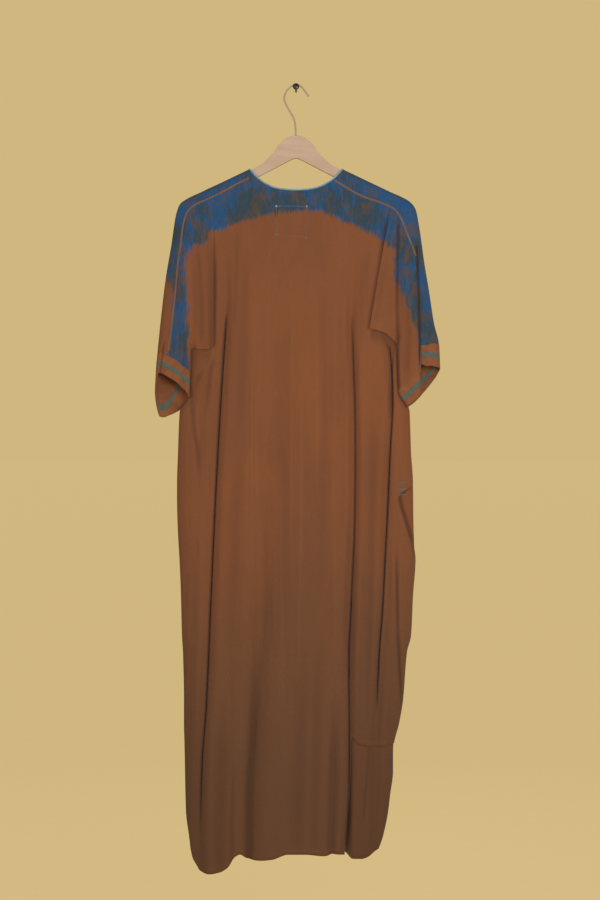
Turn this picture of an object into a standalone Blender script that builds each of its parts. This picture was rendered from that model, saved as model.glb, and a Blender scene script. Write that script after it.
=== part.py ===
"""Button-down kaftan hanging on a wooden hanger from a wall nail.

The back of the garment faces -Y and the buttoned front faces the wall, at +Y.
Sizes are millimetres, and a drop is a distance below the nail; MM turns them into metres.
"""
import math
from collections import namedtuple

import bmesh
import bpy
import numpy as np

MM = 0.001

# Driving dimensions
HANG_PLANE = -48.0
CLOTH = 1.6
SEAM_GAP = 0.3
CREST_RADIUS = 9.0
NECK_HALF = 94.0
NECK_DROP = 166.0
SHOULDER_SLOPE = 0.477
BACK_NECK_DEPTH = 43.5
FRONT_NECK_DEPTH = 96.0
NECK_ROUNDING = 3.3
BODY_DEPTH = 25.0
SIDE_ROUNDING = 44.0
ARMPIT_DROP = 520.0
SEAM_TOP = 550.0
SLIT_DROP = 800.0
SEAM_BOTTOM = 920.0
SLIT_GAPE = 2.2
HALF_WIDTH = 240.0
FULLNESS_START = 6.0
FULLNESS_END = 330.0
SIDE_FLATTENING = 0.45
RIDGE_SHARE = 0.3
RIDGE_OFFSET = 2.0
RIDGE_WIDTH = 0.9
STRETCH_START = 1000.0
SHOULDER_REACH = 130.0
LAP = 2.5
PANEL_LAP = 3.4
FRONT_SLEEVE_LAP = 1.0
FRONT_LAP_HALF = 14.0
FRONT_LAP_LIFT = 0.55
CUFF_CLOTH = 2.0
CUFF_SEAM = 0.02
SLEEVE_SQUARENESS = 0.62
BAND_CLOTH = 1.3
BAND_END = 1525.0
BAND_OVERHANG = 3.0
BINDING_WIDTH = 3.8
BINDING_HEIGHT = 3.2
BINDING_LIFT = 0.52
BUTTON_COUNT = 10
BUTTON_FIRST_DROP = 292.0
BUTTON_SPACING = 100.0
BUTTON_RADIUS = 6.5
BUTTON_HEIGHT = 2.8
BUTTON_X = 2.0
BUTTON_SIDES = 12
HANGER_THICKNESS = 11.0
HANGER_ROUNDING = 4.6
ARM_REACH = 222.0
ARM_DEPTH = 22.0
WIRE_RADIUS = 1.75
NAIL_RADIUS = 2.25
NAIL_HEAD_RADIUS = 6.5
NAIL_HEAD_HEIGHT = 3.2
NAIL_SIDES = 20
HEAD_CLEARANCE = 2.0

Outline = namedtuple("Outline", "drop left right")
Guide = namedtuple("Guide", "drop main_left deep_left soft_right main_right underarm")
FrontGuide = namedtuple("FrontGuide", "drop outer_left inner_left inner_right outer_right")
Fold = namedtuple("Fold", "path width depth top bottom")
Hem = namedtuple("Hem", "x drop")
Ring = namedtuple("Ring", "over_x over_drop near_x near_drop far_x far_drop depth close")
Sag = namedtuple("Sag", "share near far")

# Side edges of the back panel: armhole, side seam, slit on the right, curved hem corner
BACK_OUTLINE = [
    Outline(196, -167, 196), Outline(340, -182, 198), Outline(516, -205, 199),
    Outline(560, -211.8, 204.7), Outline(604, -212.4, 204.6), Outline(628, -215, 208.6),
    Outline(652, -232, 226), Outline(732, -236, 230), Outline(796, -238, 234),
    Outline(822, -238, 209), Outline(870, -237, 221), Outline(913, -235, 234),
    Outline(946, -233, 239), Outline(1020, -230, 234), Outline(1100, -228, 230),
    Outline(1132, -226, 222), Outline(1228, -224, 214), Outline(1276, -224, 206),
    Outline(1316, -223, 196), Outline(1452, -220, 186), Outline(1500, -214, 176),
    Outline(1532, -210, 172), Outline(1548, -206, 170), Outline(1574, -198, 170),
]

# Side edges of the fronts; above the slits they share the back's side seams
FRONT_OUTLINE = [
    Outline(196, -167, 196), Outline(340, -182, 198), Outline(516, -205, 199),
    Outline(560, -211.8, 204.7), Outline(604, -212.4, 204.6), Outline(628, -215, 208.6),
    Outline(652, -232, 226), Outline(732, -236, 230), Outline(796, -238, 234),
    Outline(870, -236, 235), Outline(946, -231, 237), Outline(1020, -228, 232),
    Outline(1100, -226, 228), Outline(1132, -224, 220), Outline(1228, -221, 212),
    Outline(1276, -218, 204), Outline(1324, -212, 194), Outline(1372, -207, 194),
    Outline(1420, -200, 188), Outline(1452, -192, 184), Outline(1500, -178, 174),
    Outline(1530, -166, 163),
]

# Lines that the back's columns follow, one for each large fold
BACK_GUIDES = [
    Guide(200, -136, -60, 72, 112, 176), Guide(330, -138, -62, 86, 111, 180),
    Guide(446, -140, -66, 92, 110, 184), Guide(666, -154, -68, 98, 116, 193),
    Guide(800, -162, -68, 99, 116, 183), Guide(1010, -172, -69, 101, 110, 177),
    Guide(1228, -181, -82, 89, 106, 163), Guide(1374, -187, -90, 79, 104, 158),
    Guide(1532, -194, -96, 74, 104, 156),
]
BACK_GUIDE_SHARES = (0.0, 0.16, 0.37, 0.66, 0.75, 0.9, 1.0)

FRONT_GUIDES = [
    FrontGuide(200, -140, -70, 64, 150), FrontGuide(520, -146, -74, 70, 152),
    FrontGuide(900, -160, -84, 82, 166), FrontGuide(1540, -160, -96, 84, 132),
]
FRONT_GUIDE_SHARES = (0.0, 0.3, 0.66, 1.0)

# Folds: path column of the guides, half width, depth, drops where it begins and is at full depth
BACK_FOLDS = [
    Fold("main_left", 11, 9.0, 300, 470), Fold("deep_left", 16, 8.0, 620, 1080),
    Fold("soft_right", 12, 5.0, 760, 1080), Fold("main_right", 8, 9.5, 330, 500),
    Fold("underarm", 9, 7.0, 470, 560),
]
FRONT_FOLDS = [
    Fold("outer_left", 14, 7.0, 330, 560), Fold("inner_left", 18, 6.0, 480, 900),
    Fold("inner_right", 18, 6.0, 560, 1000), Fold("outer_right", 13, 7.5, 320, 520),
]

BACK_HEM = [
    Hem(-216, 1500), Hem(-208, 1542), Hem(-200, 1560), Hem(-190, 1570), Hem(-174, 1574),
    Hem(-152, 1570), Hem(-136, 1560), Hem(-122, 1539), Hem(-112, 1534), Hem(-98, 1543),
    Hem(-80, 1546), Hem(-48, 1544), Hem(-16, 1534), Hem(16, 1534), Hem(60, 1537),
    Hem(74, 1533), Hem(105, 1536), Hem(111, 1302), Hem(124, 1314), Hem(138, 1318),
    Hem(168, 1320), Hem(200, 1314),
]
FRONT_HEM = [
    Hem(-200, 1470), Hem(-184, 1502), Hem(-164, 1518), Hem(-140, 1524), Hem(60, 1526),
    Hem(78, 1530), Hem(96, 1537), Hem(112, 1542), Hem(130, 1543), Hem(144, 1539),
    Hem(156, 1531), Hem(168, 1520),
]

# Rings of a sleeve, from its lapped edge on the body down to its cuff seam and cuff edge.
# Each ring runs from the overarm to the underarm, near the back and far at the front.
LEFT_RINGS = [
    Ring(-162, 195.7, -163, 522, -160, 516, 17, 0.0), Ring(-190, 209.3, -176, 527, -176, 522, 19, 0.0),
    Ring(-215, 222, -192, 527, -192, 526, 20, 0.0), Ring(-232, 236, -205, 525, -205, 528, 21, 0.5),
    Ring(-242, 256, -213, 528, -213, 530, 22, 1.0), Ring(-252, 320, -214, 535, -214, 538, 22, 1.0),
    Ring(-262, 382, -214, 542, -214, 548, 22, 1.0), Ring(-272, 472, -214, 552, -214, 568, 21, 1.0),
    Ring(-280, 552, -214, 570, -216, 602, 20, 1.0), Ring(-284, 600, -216, 610, -219, 630, 19, 1.0),
]
RIGHT_RINGS = [
    Ring(193, 210.6, 146, 486, 188, 508, 17, 0.0), Ring(212, 218, 160, 489, 193, 512, 19, 0.0),
    Ring(228, 230, 176, 494, 197, 516, 20, 0.0), Ring(239, 246, 192, 506, 201, 519, 21, 0.5),
    Ring(248, 286, 206, 520, 206, 522, 22, 1.0), Ring(258, 350, 207, 536, 207, 538, 22, 1.0),
    Ring(268, 410, 207, 560, 207, 562, 22, 1.0), Ring(278, 476, 207, 580, 207, 582, 21, 1.0),
    Ring(288, 528, 208, 610, 208, 612, 20, 1.0), Ring(289, 566, 226, 640, 226, 642, 19, 1.0),
]

# How far the cuff line leaves the straight line between overarm and underarm, near and far
LEFT_SAG = [
    Sag(0.0, -26, 58), Sag(0.2, -27, 56), Sag(0.4, -22, 46), Sag(0.65, -14, 30),
    Sag(0.85, -3, 14), Sag(1.0, 6, 4),
]
RIGHT_SAG = [
    Sag(0.0, 0, 8), Sag(0.25, -16, 10), Sag(0.5, -34, 9), Sag(0.58, -36, 8),
    Sag(0.68, -8, 6), Sag(0.85, -2, 3), Sag(1.0, 0, 0),
]

COLOURS = {
    "rust": ((0.224, 0.080, 0.037), 0.85, 0.0), "teal": ((0.070, 0.170, 0.170), 0.8, 0.0),
    "blue": ((0.240, 0.420, 0.540), 0.8, 0.0), "wood": ((0.540, 0.430, 0.350), 0.55, 0.0),
    "steel": ((0.550, 0.550, 0.560), 0.3, 1.0), "iron": ((0.060, 0.050, 0.045), 0.45, 0.8),
    "shell": ((0.400, 0.260, 0.170), 0.4, 0.0),
}


def smooth(value, low, high):
    """Ease from 0 at low to 1 at high."""
    share = np.clip((np.asarray(value, float) - low) / (high - low), 0.0, 1.0)
    return share * share * (3.0 - 2.0 * share)


def curve(rows, key, value, at):
    """A column of a table as a smooth curve of another one, with no overshoot between rows."""
    xs = np.array([getattr(row, key) for row in rows], float)
    ys = np.array([getattr(row, value) for row in rows], float)
    slopes = np.diff(ys) / np.diff(xs)
    before, after = slopes[:-1], slopes[1:]
    agree = before * after > 0
    middle = np.where(agree, 2 * before * after / np.where(agree, before + after, 1.0), 0.0)
    tangents = np.concatenate(([slopes[0]], middle, [slopes[-1]]))
    at = np.clip(np.asarray(at, float), xs[0], xs[-1])
    cell = np.clip(np.searchsorted(xs, at, side="right") - 1, 0, len(xs) - 2)
    width = xs[cell + 1] - xs[cell]
    t = (at - xs[cell]) / width
    rise = ys[cell + 1] - ys[cell]
    start, end = tangents[cell] * width, tangents[cell + 1] * width
    return ys[cell] + t * (start + t * (3 * rise - 2 * start - end + t * (start + end - 2 * rise)))


def crest_drop(x):
    """Drop of the shoulder line; it runs on upward across the neck."""
    return NECK_DROP + SHOULDER_SLOPE * (np.abs(x) - NECK_HALF)


def guide_x(share, drop, guides, shares, outline):
    """Where a column of a panel lies at a drop, between the panel's edges and fold lines."""
    names = guides[0]._fields[1:]
    stations = [curve(outline, "drop", "left", drop)]
    stations += [curve(guides, "drop", name, drop) for name in names]
    stations += [curve(outline, "drop", "right", drop)]
    for k in range(len(shares) - 1):
        if share <= shares[k + 1]:
            t = (share - shares[k]) / (shares[k + 1] - shares[k])
            return stations[k] + (stations[k + 1] - stations[k]) * t
    return stations[-1]


def half_depth(x, drop, guides, folds, out=0.0):
    """Distance of the body's cloth from the hanging plane, with its folds; out moves it outward."""
    below = drop - crest_drop(x)
    near_crest = np.clip(CREST_RADIUS - below, 0.0, CREST_RADIUS + out)
    depth = np.sqrt(np.maximum((CREST_RADIUS + out) ** 2 - near_crest ** 2, 0.0))
    across = np.clip(np.abs(x) / HALF_WIDTH, 0.0, 1.0)
    fullness = (BODY_DEPTH - CREST_RADIUS) * (1.0 - SIDE_FLATTENING * across ** 2)
    depth = depth + fullness * smooth(below, FULLNESS_START, FULLNESS_END)
    for fold in folds:
        offset = (x - curve(guides, "drop", fold.path, drop)) / fold.width
        reach = smooth(drop, fold.top, fold.bottom)
        depth = depth - fold.depth * reach * np.exp(-offset ** 2)
        beside = (np.abs(offset) - RIDGE_OFFSET) / RIDGE_WIDTH
        depth = depth + RIDGE_SHARE * fold.depth * reach * np.exp(-beside ** 2)
    left = curve(FRONT_OUTLINE, "drop", "left", drop)
    right = curve(FRONT_OUTLINE, "drop", "right", drop)
    inset = np.clip(np.minimum(x - left, right - x) / SIDE_ROUNDING, 0.0, 1.0)
    rounding = np.sqrt(1.0 - (1.0 - inset) ** 2)
    closed = smooth(drop, ARMPIT_DROP - 70.0, ARMPIT_DROP + 40.0)
    gape = SLIT_GAPE * smooth(drop, SLIT_DROP, SLIT_DROP + 90.0)
    return np.maximum(depth * (1.0 - closed + closed * rounding), SEAM_GAP / 2 + gape)


def point(x, drop, depth, side):
    """A point in millimetres; side is -1 for the back and 1 for the front."""
    return np.array([x, HANG_PLANE + side * depth, -drop])


def grid_normals(grid, side):
    """Unit normals of a grid of points, pointing to the given side of the hanging plane."""
    down = np.gradient(grid, axis=0)
    across = np.gradient(grid, axis=1)
    normal = np.cross(across, down)
    normal /= np.linalg.norm(normal, axis=2, keepdims=True)
    if np.sum(normal[..., 1]) * side < 0:
        normal = -normal
    return normal


def material(name):
    colour, roughness, metallic = COLOURS[name]
    found = bpy.data.materials.get(name)
    if found:
        return found
    made = bpy.data.materials.new(name)
    made.use_nodes = True
    shader = made.node_tree.nodes["Principled BSDF"]
    shader.inputs["Base Color"].default_value = (*colour, 1.0)
    shader.inputs["Roughness"].default_value = roughness
    shader.inputs["Metallic"].default_value = metallic
    return made


def add_object(name, vertices, faces, finish, smooth_angle=40.0):
    """One closed solid in metres, from points in millimetres."""
    mesh = bpy.data.meshes.new(name)
    mesh.from_pydata([tuple(MM * float(c) for c in vertex) for vertex in vertices], [], faces)
    work = bmesh.new()
    work.from_mesh(mesh)
    bmesh.ops.recalc_face_normals(work, faces=work.faces[:])
    work.to_mesh(mesh)
    work.free()
    mesh.materials.append(material(finish))
    mesh.shade_smooth()
    mesh.set_sharp_from_angle(angle=math.radians(smooth_angle))
    made = bpy.data.objects.new(name, mesh)
    bpy.context.scene.collection.objects.link(made)
    return made


def add_sheet(name, middle, normals, finish, cloth=CLOTH):
    """A cloth wall around a grid of middle points, closed by a rim all round."""
    rows, columns = middle.shape[:2]
    outer = (middle + normals * cloth / 2).reshape(-1, 3)
    inner = (middle - normals * cloth / 2).reshape(-1, 3)
    count = rows * columns
    faces = []
    for r in range(rows - 1):
        for c in range(columns - 1):
            corner = r * columns + c
            quad = (corner, corner + 1, corner + columns + 1, corner + columns)
            faces.append(quad)
            faces.append(tuple(count + k for k in reversed(quad)))
    top = [c for c in range(columns)]
    right = [r * columns + columns - 1 for r in range(1, rows)]
    bottom = [(rows - 1) * columns + c for c in range(columns - 2, -1, -1)]
    left = [r * columns for r in range(rows - 2, 0, -1)]
    border = top + right + bottom + left
    for k, first in enumerate(border):
        second = border[(k + 1) % len(border)]
        faces.append((second, first, count + first, count + second))
    return add_object(name, np.concatenate((outer, inner)), faces, finish)


def neck_point(turn, depth):
    """A point of the neck edge: turn 0 at the left neck point, pi at the right one."""
    across = -math.cos(turn)
    return NECK_HALF * across, NECK_DROP + depth * (1.0 - abs(across) ** NECK_ROUNDING)


def panel_top(share, crest_left, crest_right):
    """The back's top edge: shoulder seam, neck edge, shoulder seam; ends are (share, x)."""
    if share < crest_left[0]:
        x = crest_left[1] + (-NECK_HALF - crest_left[1]) * share / crest_left[0]
        return x, float(crest_drop(x))
    if share > crest_right[0]:
        x = NECK_HALF + (crest_right[1] - NECK_HALF) * (share - crest_right[0]) / (1 - crest_right[0])
        return x, float(crest_drop(x))
    turn = math.pi * (share - crest_left[0]) / (crest_right[0] - crest_left[0])
    return neck_point(turn, BACK_NECK_DEPTH)


CREST_OFFSETS = (0.0, 1.3, 4.5, 9.5, 22.0)


def panel_grid(shares, drops, top, place, hem, depth, side):
    """Middle points of a body panel, a column for each share and a row for each drop."""
    crest_rows = len(CREST_OFFSETS)
    grid = np.zeros((crest_rows + len(drops), len(shares), 3))
    for c, share in enumerate(shares):
        top_x, top_drop = top(share)
        stretch = (hem(share) - STRETCH_START) / (drops[-1] - STRETCH_START)
        column = [top_drop + offset for offset in CREST_OFFSETS]
        for drop in drops:
            column.append(drop + max(drop - STRETCH_START, 0.0) * (stretch - 1.0))
        first, third = column[crest_rows - 1], column[crest_rows + 2]
        for k in (0, 1):
            even = first + (third - first) * (k + 1) / 3
            column[crest_rows + k] = max(column[crest_rows + k], even)
        for r, drop in enumerate(column):
            free = smooth(drop, top_drop, top_drop + SHOULDER_REACH)
            x = top_x + (place(share, drop) - top_x) * free
            grid[r, c] = point(x, drop, depth(x, drop), side)
    return grid


def seam_normals(normals, grid, edges):
    """Turn the normals square at the shoulder seams and at the side seams named in edges.

    Edges holds (column, side, last drop) for each side seam.
    """
    crest = np.abs(grid[0, :, 0]) >= NECK_HALF - 0.01
    lean = math.hypot(1.0, SHOULDER_SLOPE)
    for c in np.nonzero(crest)[0]:
        tilt = SHOULDER_SLOPE * math.copysign(1.0, grid[0, c, 0])
        normals[0, c] = np.array([tilt, 0.0, 1.0]) / lean
    for column, side, last in edges:
        drops = -grid[:, column, 2]
        rows = (drops > SEAM_TOP) & (drops < last)
        normals[rows, column] = (side, 0.0, 0.0)
    return normals


def back_depth(x, drop, out=0.0):
    return half_depth(x, drop, BACK_GUIDES, BACK_FOLDS, out)


def front_depth(x, drop, out=0.0):
    return half_depth(x, drop, FRONT_GUIDES, FRONT_FOLDS, out)


def over_lap(x):
    """How far the upper front stands off so that it laps over the lower one."""
    fades = smooth(x, FRONT_LAP_HALF + 24.0, FRONT_LAP_HALF + 54.0)
    return (CLOTH + FRONT_LAP_LIFT) * (1.0 - fades)


BACK_SHARES = (
    0.0, 0.03, 0.07, 0.11, 0.14, 0.16, 0.18, 0.2, 0.22, 0.24, 0.265, 0.3, 0.34, 0.37, 0.4,
    0.45, 0.52, 0.58, 0.62, 0.66, 0.69, 0.72, 0.74, 0.75, 0.77, 0.79, 0.82,
    0.86, 0.88, 0.9, 0.92, 0.96, 1.0,
)
BACK_DROPS = (
    258, 300, 360, 440, 520, 560, 604, 630, 652, 710, 796, 810, 822, 870,
    913, 946, 1030, 1130, 1230, 1330, 1430, 1500, 1545, 1574,
)
FRONT_SHARES = (0.0, 0.06, 0.14, 0.22, 0.3, 0.345, 0.4, 0.46, 0.55, 0.62, 0.66, 0.7, 0.78, 0.87, 1.0)
FRONT_DROPS = (
    320, 370, 440, 520, 560, 604, 630, 652, 720, 796, 822, 870, 946, 1050, 1160,
    1280, 1400, 1490, 1543,
)


BACK_NECK_SHARES = (0.2, 0.79)
BACK_FOLD_SHARE = 0.76
BACK_HEM_DROP = 1545.0
RAISED_HEM_DROP = 1316.0
FRONT_NECK_SHARE = 0.3
FRONT_HEM_DROP = 1530.0


def back_place(share, drop):
    return guide_x(share, drop, BACK_GUIDES, BACK_GUIDE_SHARES, BACK_OUTLINE)


def back_top(share):
    left_end = (BACK_NECK_SHARES[0], BACK_OUTLINE[0].left)
    right_end = (BACK_NECK_SHARES[1], BACK_OUTLINE[0].right)
    return panel_top(share, left_end, right_end)


def back_hem(share):
    level = BACK_HEM_DROP if share < BACK_FOLD_SHARE else RAISED_HEM_DROP
    return float(curve(BACK_HEM, "x", "drop", back_place(share, level)))


def build_back():
    grid = panel_grid(BACK_SHARES, BACK_DROPS, back_top, back_place, back_hem, back_depth, -1)
    edges = ((0, -1.0, SEAM_BOTTOM), (-1, 1.0, SLIT_DROP + 1.0))
    normals = seam_normals(grid_normals(grid, -1), grid, edges)
    add_sheet("back_panel", grid, normals, "rust")
    return grid, normals


def half_front(side):
    """The functions that place one front: its columns run from the side seam to the centre."""
    names = ("outer_left", "inner_left") if side < 0 else ("outer_right", "inner_right")
    edge = "left" if side < 0 else "right"
    centre = -side * FRONT_LAP_HALF

    def place(share, drop):
        stations = [curve(FRONT_OUTLINE, "drop", edge, drop)]
        stations += [curve(FRONT_GUIDES, "drop", name, drop) for name in names]
        stations.append(centre)
        return np.interp(share, FRONT_GUIDE_SHARES, [float(s) for s in stations])

    def top(share):
        start = FRONT_OUTLINE[0].left if side < 0 else FRONT_OUTLINE[0].right
        if share <= FRONT_NECK_SHARE:
            x = start + (side * NECK_HALF - start) * share / FRONT_NECK_SHARE
            return x, float(crest_drop(x))
        last_turn = math.acos(-FRONT_LAP_HALF / NECK_HALF)
        turn = last_turn * (share - FRONT_NECK_SHARE) / (1.0 - FRONT_NECK_SHARE)
        x, drop = neck_point(turn, FRONT_NECK_DEPTH)
        return -side * x, drop

    def hem(share):
        return float(curve(FRONT_HEM, "x", "drop", place(share, FRONT_HEM_DROP)))

    def depth(x, drop):
        extra = over_lap(x) if side > 0 else 0.0
        return front_depth(x, drop) + extra

    return place, top, hem, depth


def build_front(side, name):
    place, top, hem, depth = half_front(side)
    grid = panel_grid(FRONT_SHARES, FRONT_DROPS, top, place, hem, depth, 1)
    normals = seam_normals(grid_normals(grid, 1), grid, ((0, float(side), SEAM_BOTTOM),))
    add_sheet(name, grid, normals, "rust")
    return grid, normals


def build_placket():
    """The long band that lies on the upper front along the centre."""
    depth = half_front(1)[3]
    standoff = CLOTH / 2 + SEAM_GAP + BAND_CLOTH / 2
    columns = (-FRONT_LAP_HALF, FRONT_LAP_HALF + BAND_OVERHANG)
    rows = np.linspace(NECK_DROP + FRONT_NECK_DEPTH + 2.0, BAND_END, 26)
    grid = np.zeros((len(rows), len(columns), 3))
    for c, x in enumerate(columns):
        for r, drop in enumerate(rows):
            grid[r, c] = point(x, drop, depth(x, drop) + standoff, 1)
    normals = np.zeros_like(grid)
    normals[..., 1] = 1.0
    add_sheet("placket_band", grid, normals, "rust", BAND_CLOTH)
    return depth


BUTTON_PROFILE = (
    (0.0, 0.0), (0.8, 0.0), (1.0, 0.35), (0.94, 1.0), (0.76, 1.0), (0.6, 0.66), (0.0, 0.62),
)


def turned(name, centre, profile, sides, finish):
    """A turned solid about a line along Y; its profile is (radius, y) rows between two poles."""
    vertices = []
    rings = []
    for radius, y in profile:
        count = sides if radius > 0.0 else 1
        rings.append(range(len(vertices), len(vertices) + count))
        for s in range(count):
            turn = 2 * math.pi * s / sides
            vertices.append((centre[0] + radius * math.cos(turn), y, centre[1] + radius * math.sin(turn)))
    faces = []
    for low, high in zip(rings[:-1], rings[1:]):
        for s in range(sides):
            n = (s + 1) % sides
            if len(low) == 1:
                faces.append((low[0], high[s], high[n]))
            elif len(high) == 1:
                faces.append((low[s], high[0], low[n]))
            else:
                faces.append((low[s], high[s], high[n], low[n]))
    add_object(name, vertices, faces, finish)


def build_buttons(depth):
    """Turned buttons with a raised rim, seated on the placket band."""
    seat = CLOTH / 2 + 2 * SEAM_GAP + BAND_CLOTH
    for k in range(BUTTON_COUNT):
        drop = BUTTON_FIRST_DROP + BUTTON_SPACING * k
        base = HANG_PLANE + float(depth(BUTTON_X, drop)) + seat
        profile = [
            (radius * BUTTON_RADIUS, base + height * BUTTON_HEIGHT) for radius, height in BUTTON_PROFILE
        ]
        turned(f"button_{k + 1:02d}", (BUTTON_X, -drop), profile, BUTTON_SIDES, "shell")


def lap_depth(x, drop, side):
    """Distance from the hanging plane at which the sleeve clears the body's cloth."""
    out = LAP + (PANEL_LAP - LAP) * smooth(drop - crest_drop(x), 8.0, 70.0)
    return back_depth(x, drop, out) if side < 0 else front_depth(x, drop, out) + FRONT_SLEEVE_LAP


def sleeve_value(rings, name, t):
    """A column of the ring table at a position along the sleeve, counted in rings."""
    Step = namedtuple("Step", "at value")
    steps = [Step(k, getattr(ring, name)) for k, ring in enumerate(rings)]
    return float(curve(steps, "at", "value", t))


def sleeve_point(rings, sag, t, turn):
    """A middle point of a sleeve: turn -1 at the near underarm, 0 at the overarm, 1 at the far one."""
    side = -1.0 if turn < 0 else 1.0
    angle = math.pi * abs(turn)
    share = (1.0 - math.cos(angle)) / 2
    height = math.sin(angle)
    facing = 0.5 + 0.5 * side * min(1.0, height * 1.6)
    over = np.array([sleeve_value(rings, "over_x", t), sleeve_value(rings, "over_drop", t)])
    near = np.array([sleeve_value(rings, "near_x", t), sleeve_value(rings, "near_drop", t)])
    far = np.array([sleeve_value(rings, "far_x", t), sleeve_value(rings, "far_drop", t)])
    close = sleeve_value(rings, "close", t)
    mixed = 0.5 + 0.5 * side if close < 1.0 else facing
    under = near + (far - near) * (mixed if abs(turn) > 0.5 else facing)
    x, drop = over + (under - over) * share
    cuff = float(smooth(t, len(rings) - 4.0, len(rings) - 1.0))
    near_sag = float(curve(sag, "share", "near", share))
    far_sag = float(curve(sag, "share", "far", share))
    drop += cuff * (near_sag + (far_sag - near_sag) * facing)
    depth = sleeve_value(rings, "depth", t)
    rounded = height ** SLEEVE_SQUARENESS
    profile = rounded if share < 0.5 else (1.0 - close) + close * rounded
    y = max(depth * profile, SEAM_GAP / 2)
    outline = BACK_OUTLINE if side < 0 else FRONT_OUTLINE
    edge = float(curve(outline, "drop", "left" if x < 0 else "right", drop))
    if abs(x) < abs(edge) + 4.0 and drop < ARMPIT_DROP + 20.0 and close < 1.0:
        y = max(y if t > 0 else 0.0, float(lap_depth(x, drop, side)))
    return point(x, drop, y, side)


SLEEVE_TURNS = (
    -1.0, -0.94, -0.85, -0.74, -0.64, -0.54, -0.44, -0.33, -0.23, -0.14, -0.08, -0.04,
    0.0, 0.04, 0.08, 0.14, 0.23, 0.38, 0.54, 0.72, 0.86, 0.94, 1.0,
)
SLEEVE_ROWS = (0.0, 0.35, 0.8, 1.4, 2.0, 2.6, 3.0, 3.5, 4.0, 4.8, 5.6, 6.4, 7.2, 8.0)
CUFF_ROWS = (8.0 + CUFF_SEAM, 8.35, 8.7, 9.0)


def sleeve_grid(rings, sag, rows):
    grid = np.array([[sleeve_point(rings, sag, t, turn) for turn in SLEEVE_TURNS] for t in rows])
    down = np.gradient(grid, axis=0)
    across = np.gradient(grid, axis=1)
    normals = np.cross(across, down)
    normals /= np.linalg.norm(normals, axis=2, keepdims=True)
    middle = len(SLEEVE_TURNS) // 4
    if np.sum(normals[:, middle, 1]) > 0:
        normals = -normals
    for r, t in enumerate(rows):
        if sleeve_value(rings, "close", t) >= 1.0:
            lead = grid[r, 0] - grid[r, len(SLEEVE_TURNS) // 2]
            lead[1] = 0.0
            lead /= np.linalg.norm(lead)
            normals[r, 0] = lead
            normals[r, -1] = lead
    return grid, normals


def build_sleeve(side_name, rings, sag):
    grid, normals = sleeve_grid(rings, sag, SLEEVE_ROWS)
    add_sheet(f"sleeve_{side_name}", grid, normals, "rust")
    grid, normals = sleeve_grid(rings, sag, CUFF_ROWS)
    add_sheet(f"cuff_{side_name}", grid, normals, "teal", CUFF_CLOTH)


def sweep(name, frames, profile, finish):
    """A closed profile carried along frames of (origin, first axis, second axis), with end caps."""
    count = len(profile)
    vertices = []
    for origin, first, second in frames:
        for u, v in profile:
            vertices.append(origin + first * u + second * v)
    faces = []
    for f in range(len(frames) - 1):
        for k in range(count):
            n = (k + 1) % count
            low, high = f * count, (f + 1) * count
            faces.append((low + k, low + n, high + n, high + k))
    faces.append(tuple(range(count - 1, -1, -1)))
    faces.append(tuple((len(frames) - 1) * count + k for k in range(count)))
    return add_object(name, vertices, faces, finish)


def neck_edge(panel, shares, first, last):
    """Edge point and normal of a panel's own points along its part of the neckline."""
    grid, normals = panel
    stations = []
    for c, share in enumerate(shares):
        if first <= share <= last:
            stations.append((grid[0, c], normals[0, c]))
    return stations


def build_binding(back, front_left, front_right):
    """A narrow folded strip sewn along the neck edge, from one front to the other round the back."""
    left = neck_edge(front_left, FRONT_SHARES, 0.3, 0.85)[::-1]
    middle = neck_edge(back, BACK_SHARES, 0.21, 0.78)
    right = neck_edge(front_right, FRONT_SHARES, 0.3, 1.0)
    stations = left + middle + right
    tangents = np.gradient(np.array([edge for edge, _ in stations]), axis=0)
    frames = []
    for (edge, facing), tangent in zip(stations, tangents):
        tangent = tangent / np.linalg.norm(tangent)
        facing = facing - tangent * np.dot(facing, tangent)
        facing /= np.linalg.norm(facing)
        frames.append((edge, facing, np.cross(tangent, facing)))
    half = BINDING_WIDTH / 2
    low = -BINDING_LIFT
    top = low - BINDING_HEIGHT
    middle = (low + top) / 2
    profile = (
        (-0.85 * half, low), (0.85 * half, low), (half, middle), (0.6 * half, top), (-0.6 * half, top),
        (-half, middle),
    )
    sweep("neck_binding", frames, profile, "blue")


def hanger_outline():
    """Half of the hanger's front view, from the crown's top to the arm's tip and back below."""
    crown = [(0, 98), (15, 101), (27, 109), (36, 119), (45, 132), (56, 144), (68, 155), (84, 164.5)]
    top_gap = CLOTH / 2 + SEAM_GAP + 0.15
    neck_room = BINDING_WIDTH / 2 - CLOTH / 2
    arm_top = [(NECK_HALF + 3.0, float(crest_drop(NECK_HALF + 3.0)) + top_gap + neck_room)]
    arm_top += [(x, float(crest_drop(x)) + top_gap) for x in (110, 160, 208)]
    tip_x, tip_drop = ARM_REACH, float(crest_drop(ARM_REACH)) + top_gap + ARM_DEPTH / 2
    tip = [(tip_x - 4, tip_drop - 8), (tip_x, tip_drop), (tip_x - 3, tip_drop + 8)]
    arm_low = [(210, 246), (170, 228), (79, 182), (12, 147.5)]
    return crown + arm_top + tip + arm_low + [(0, 143)]


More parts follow.
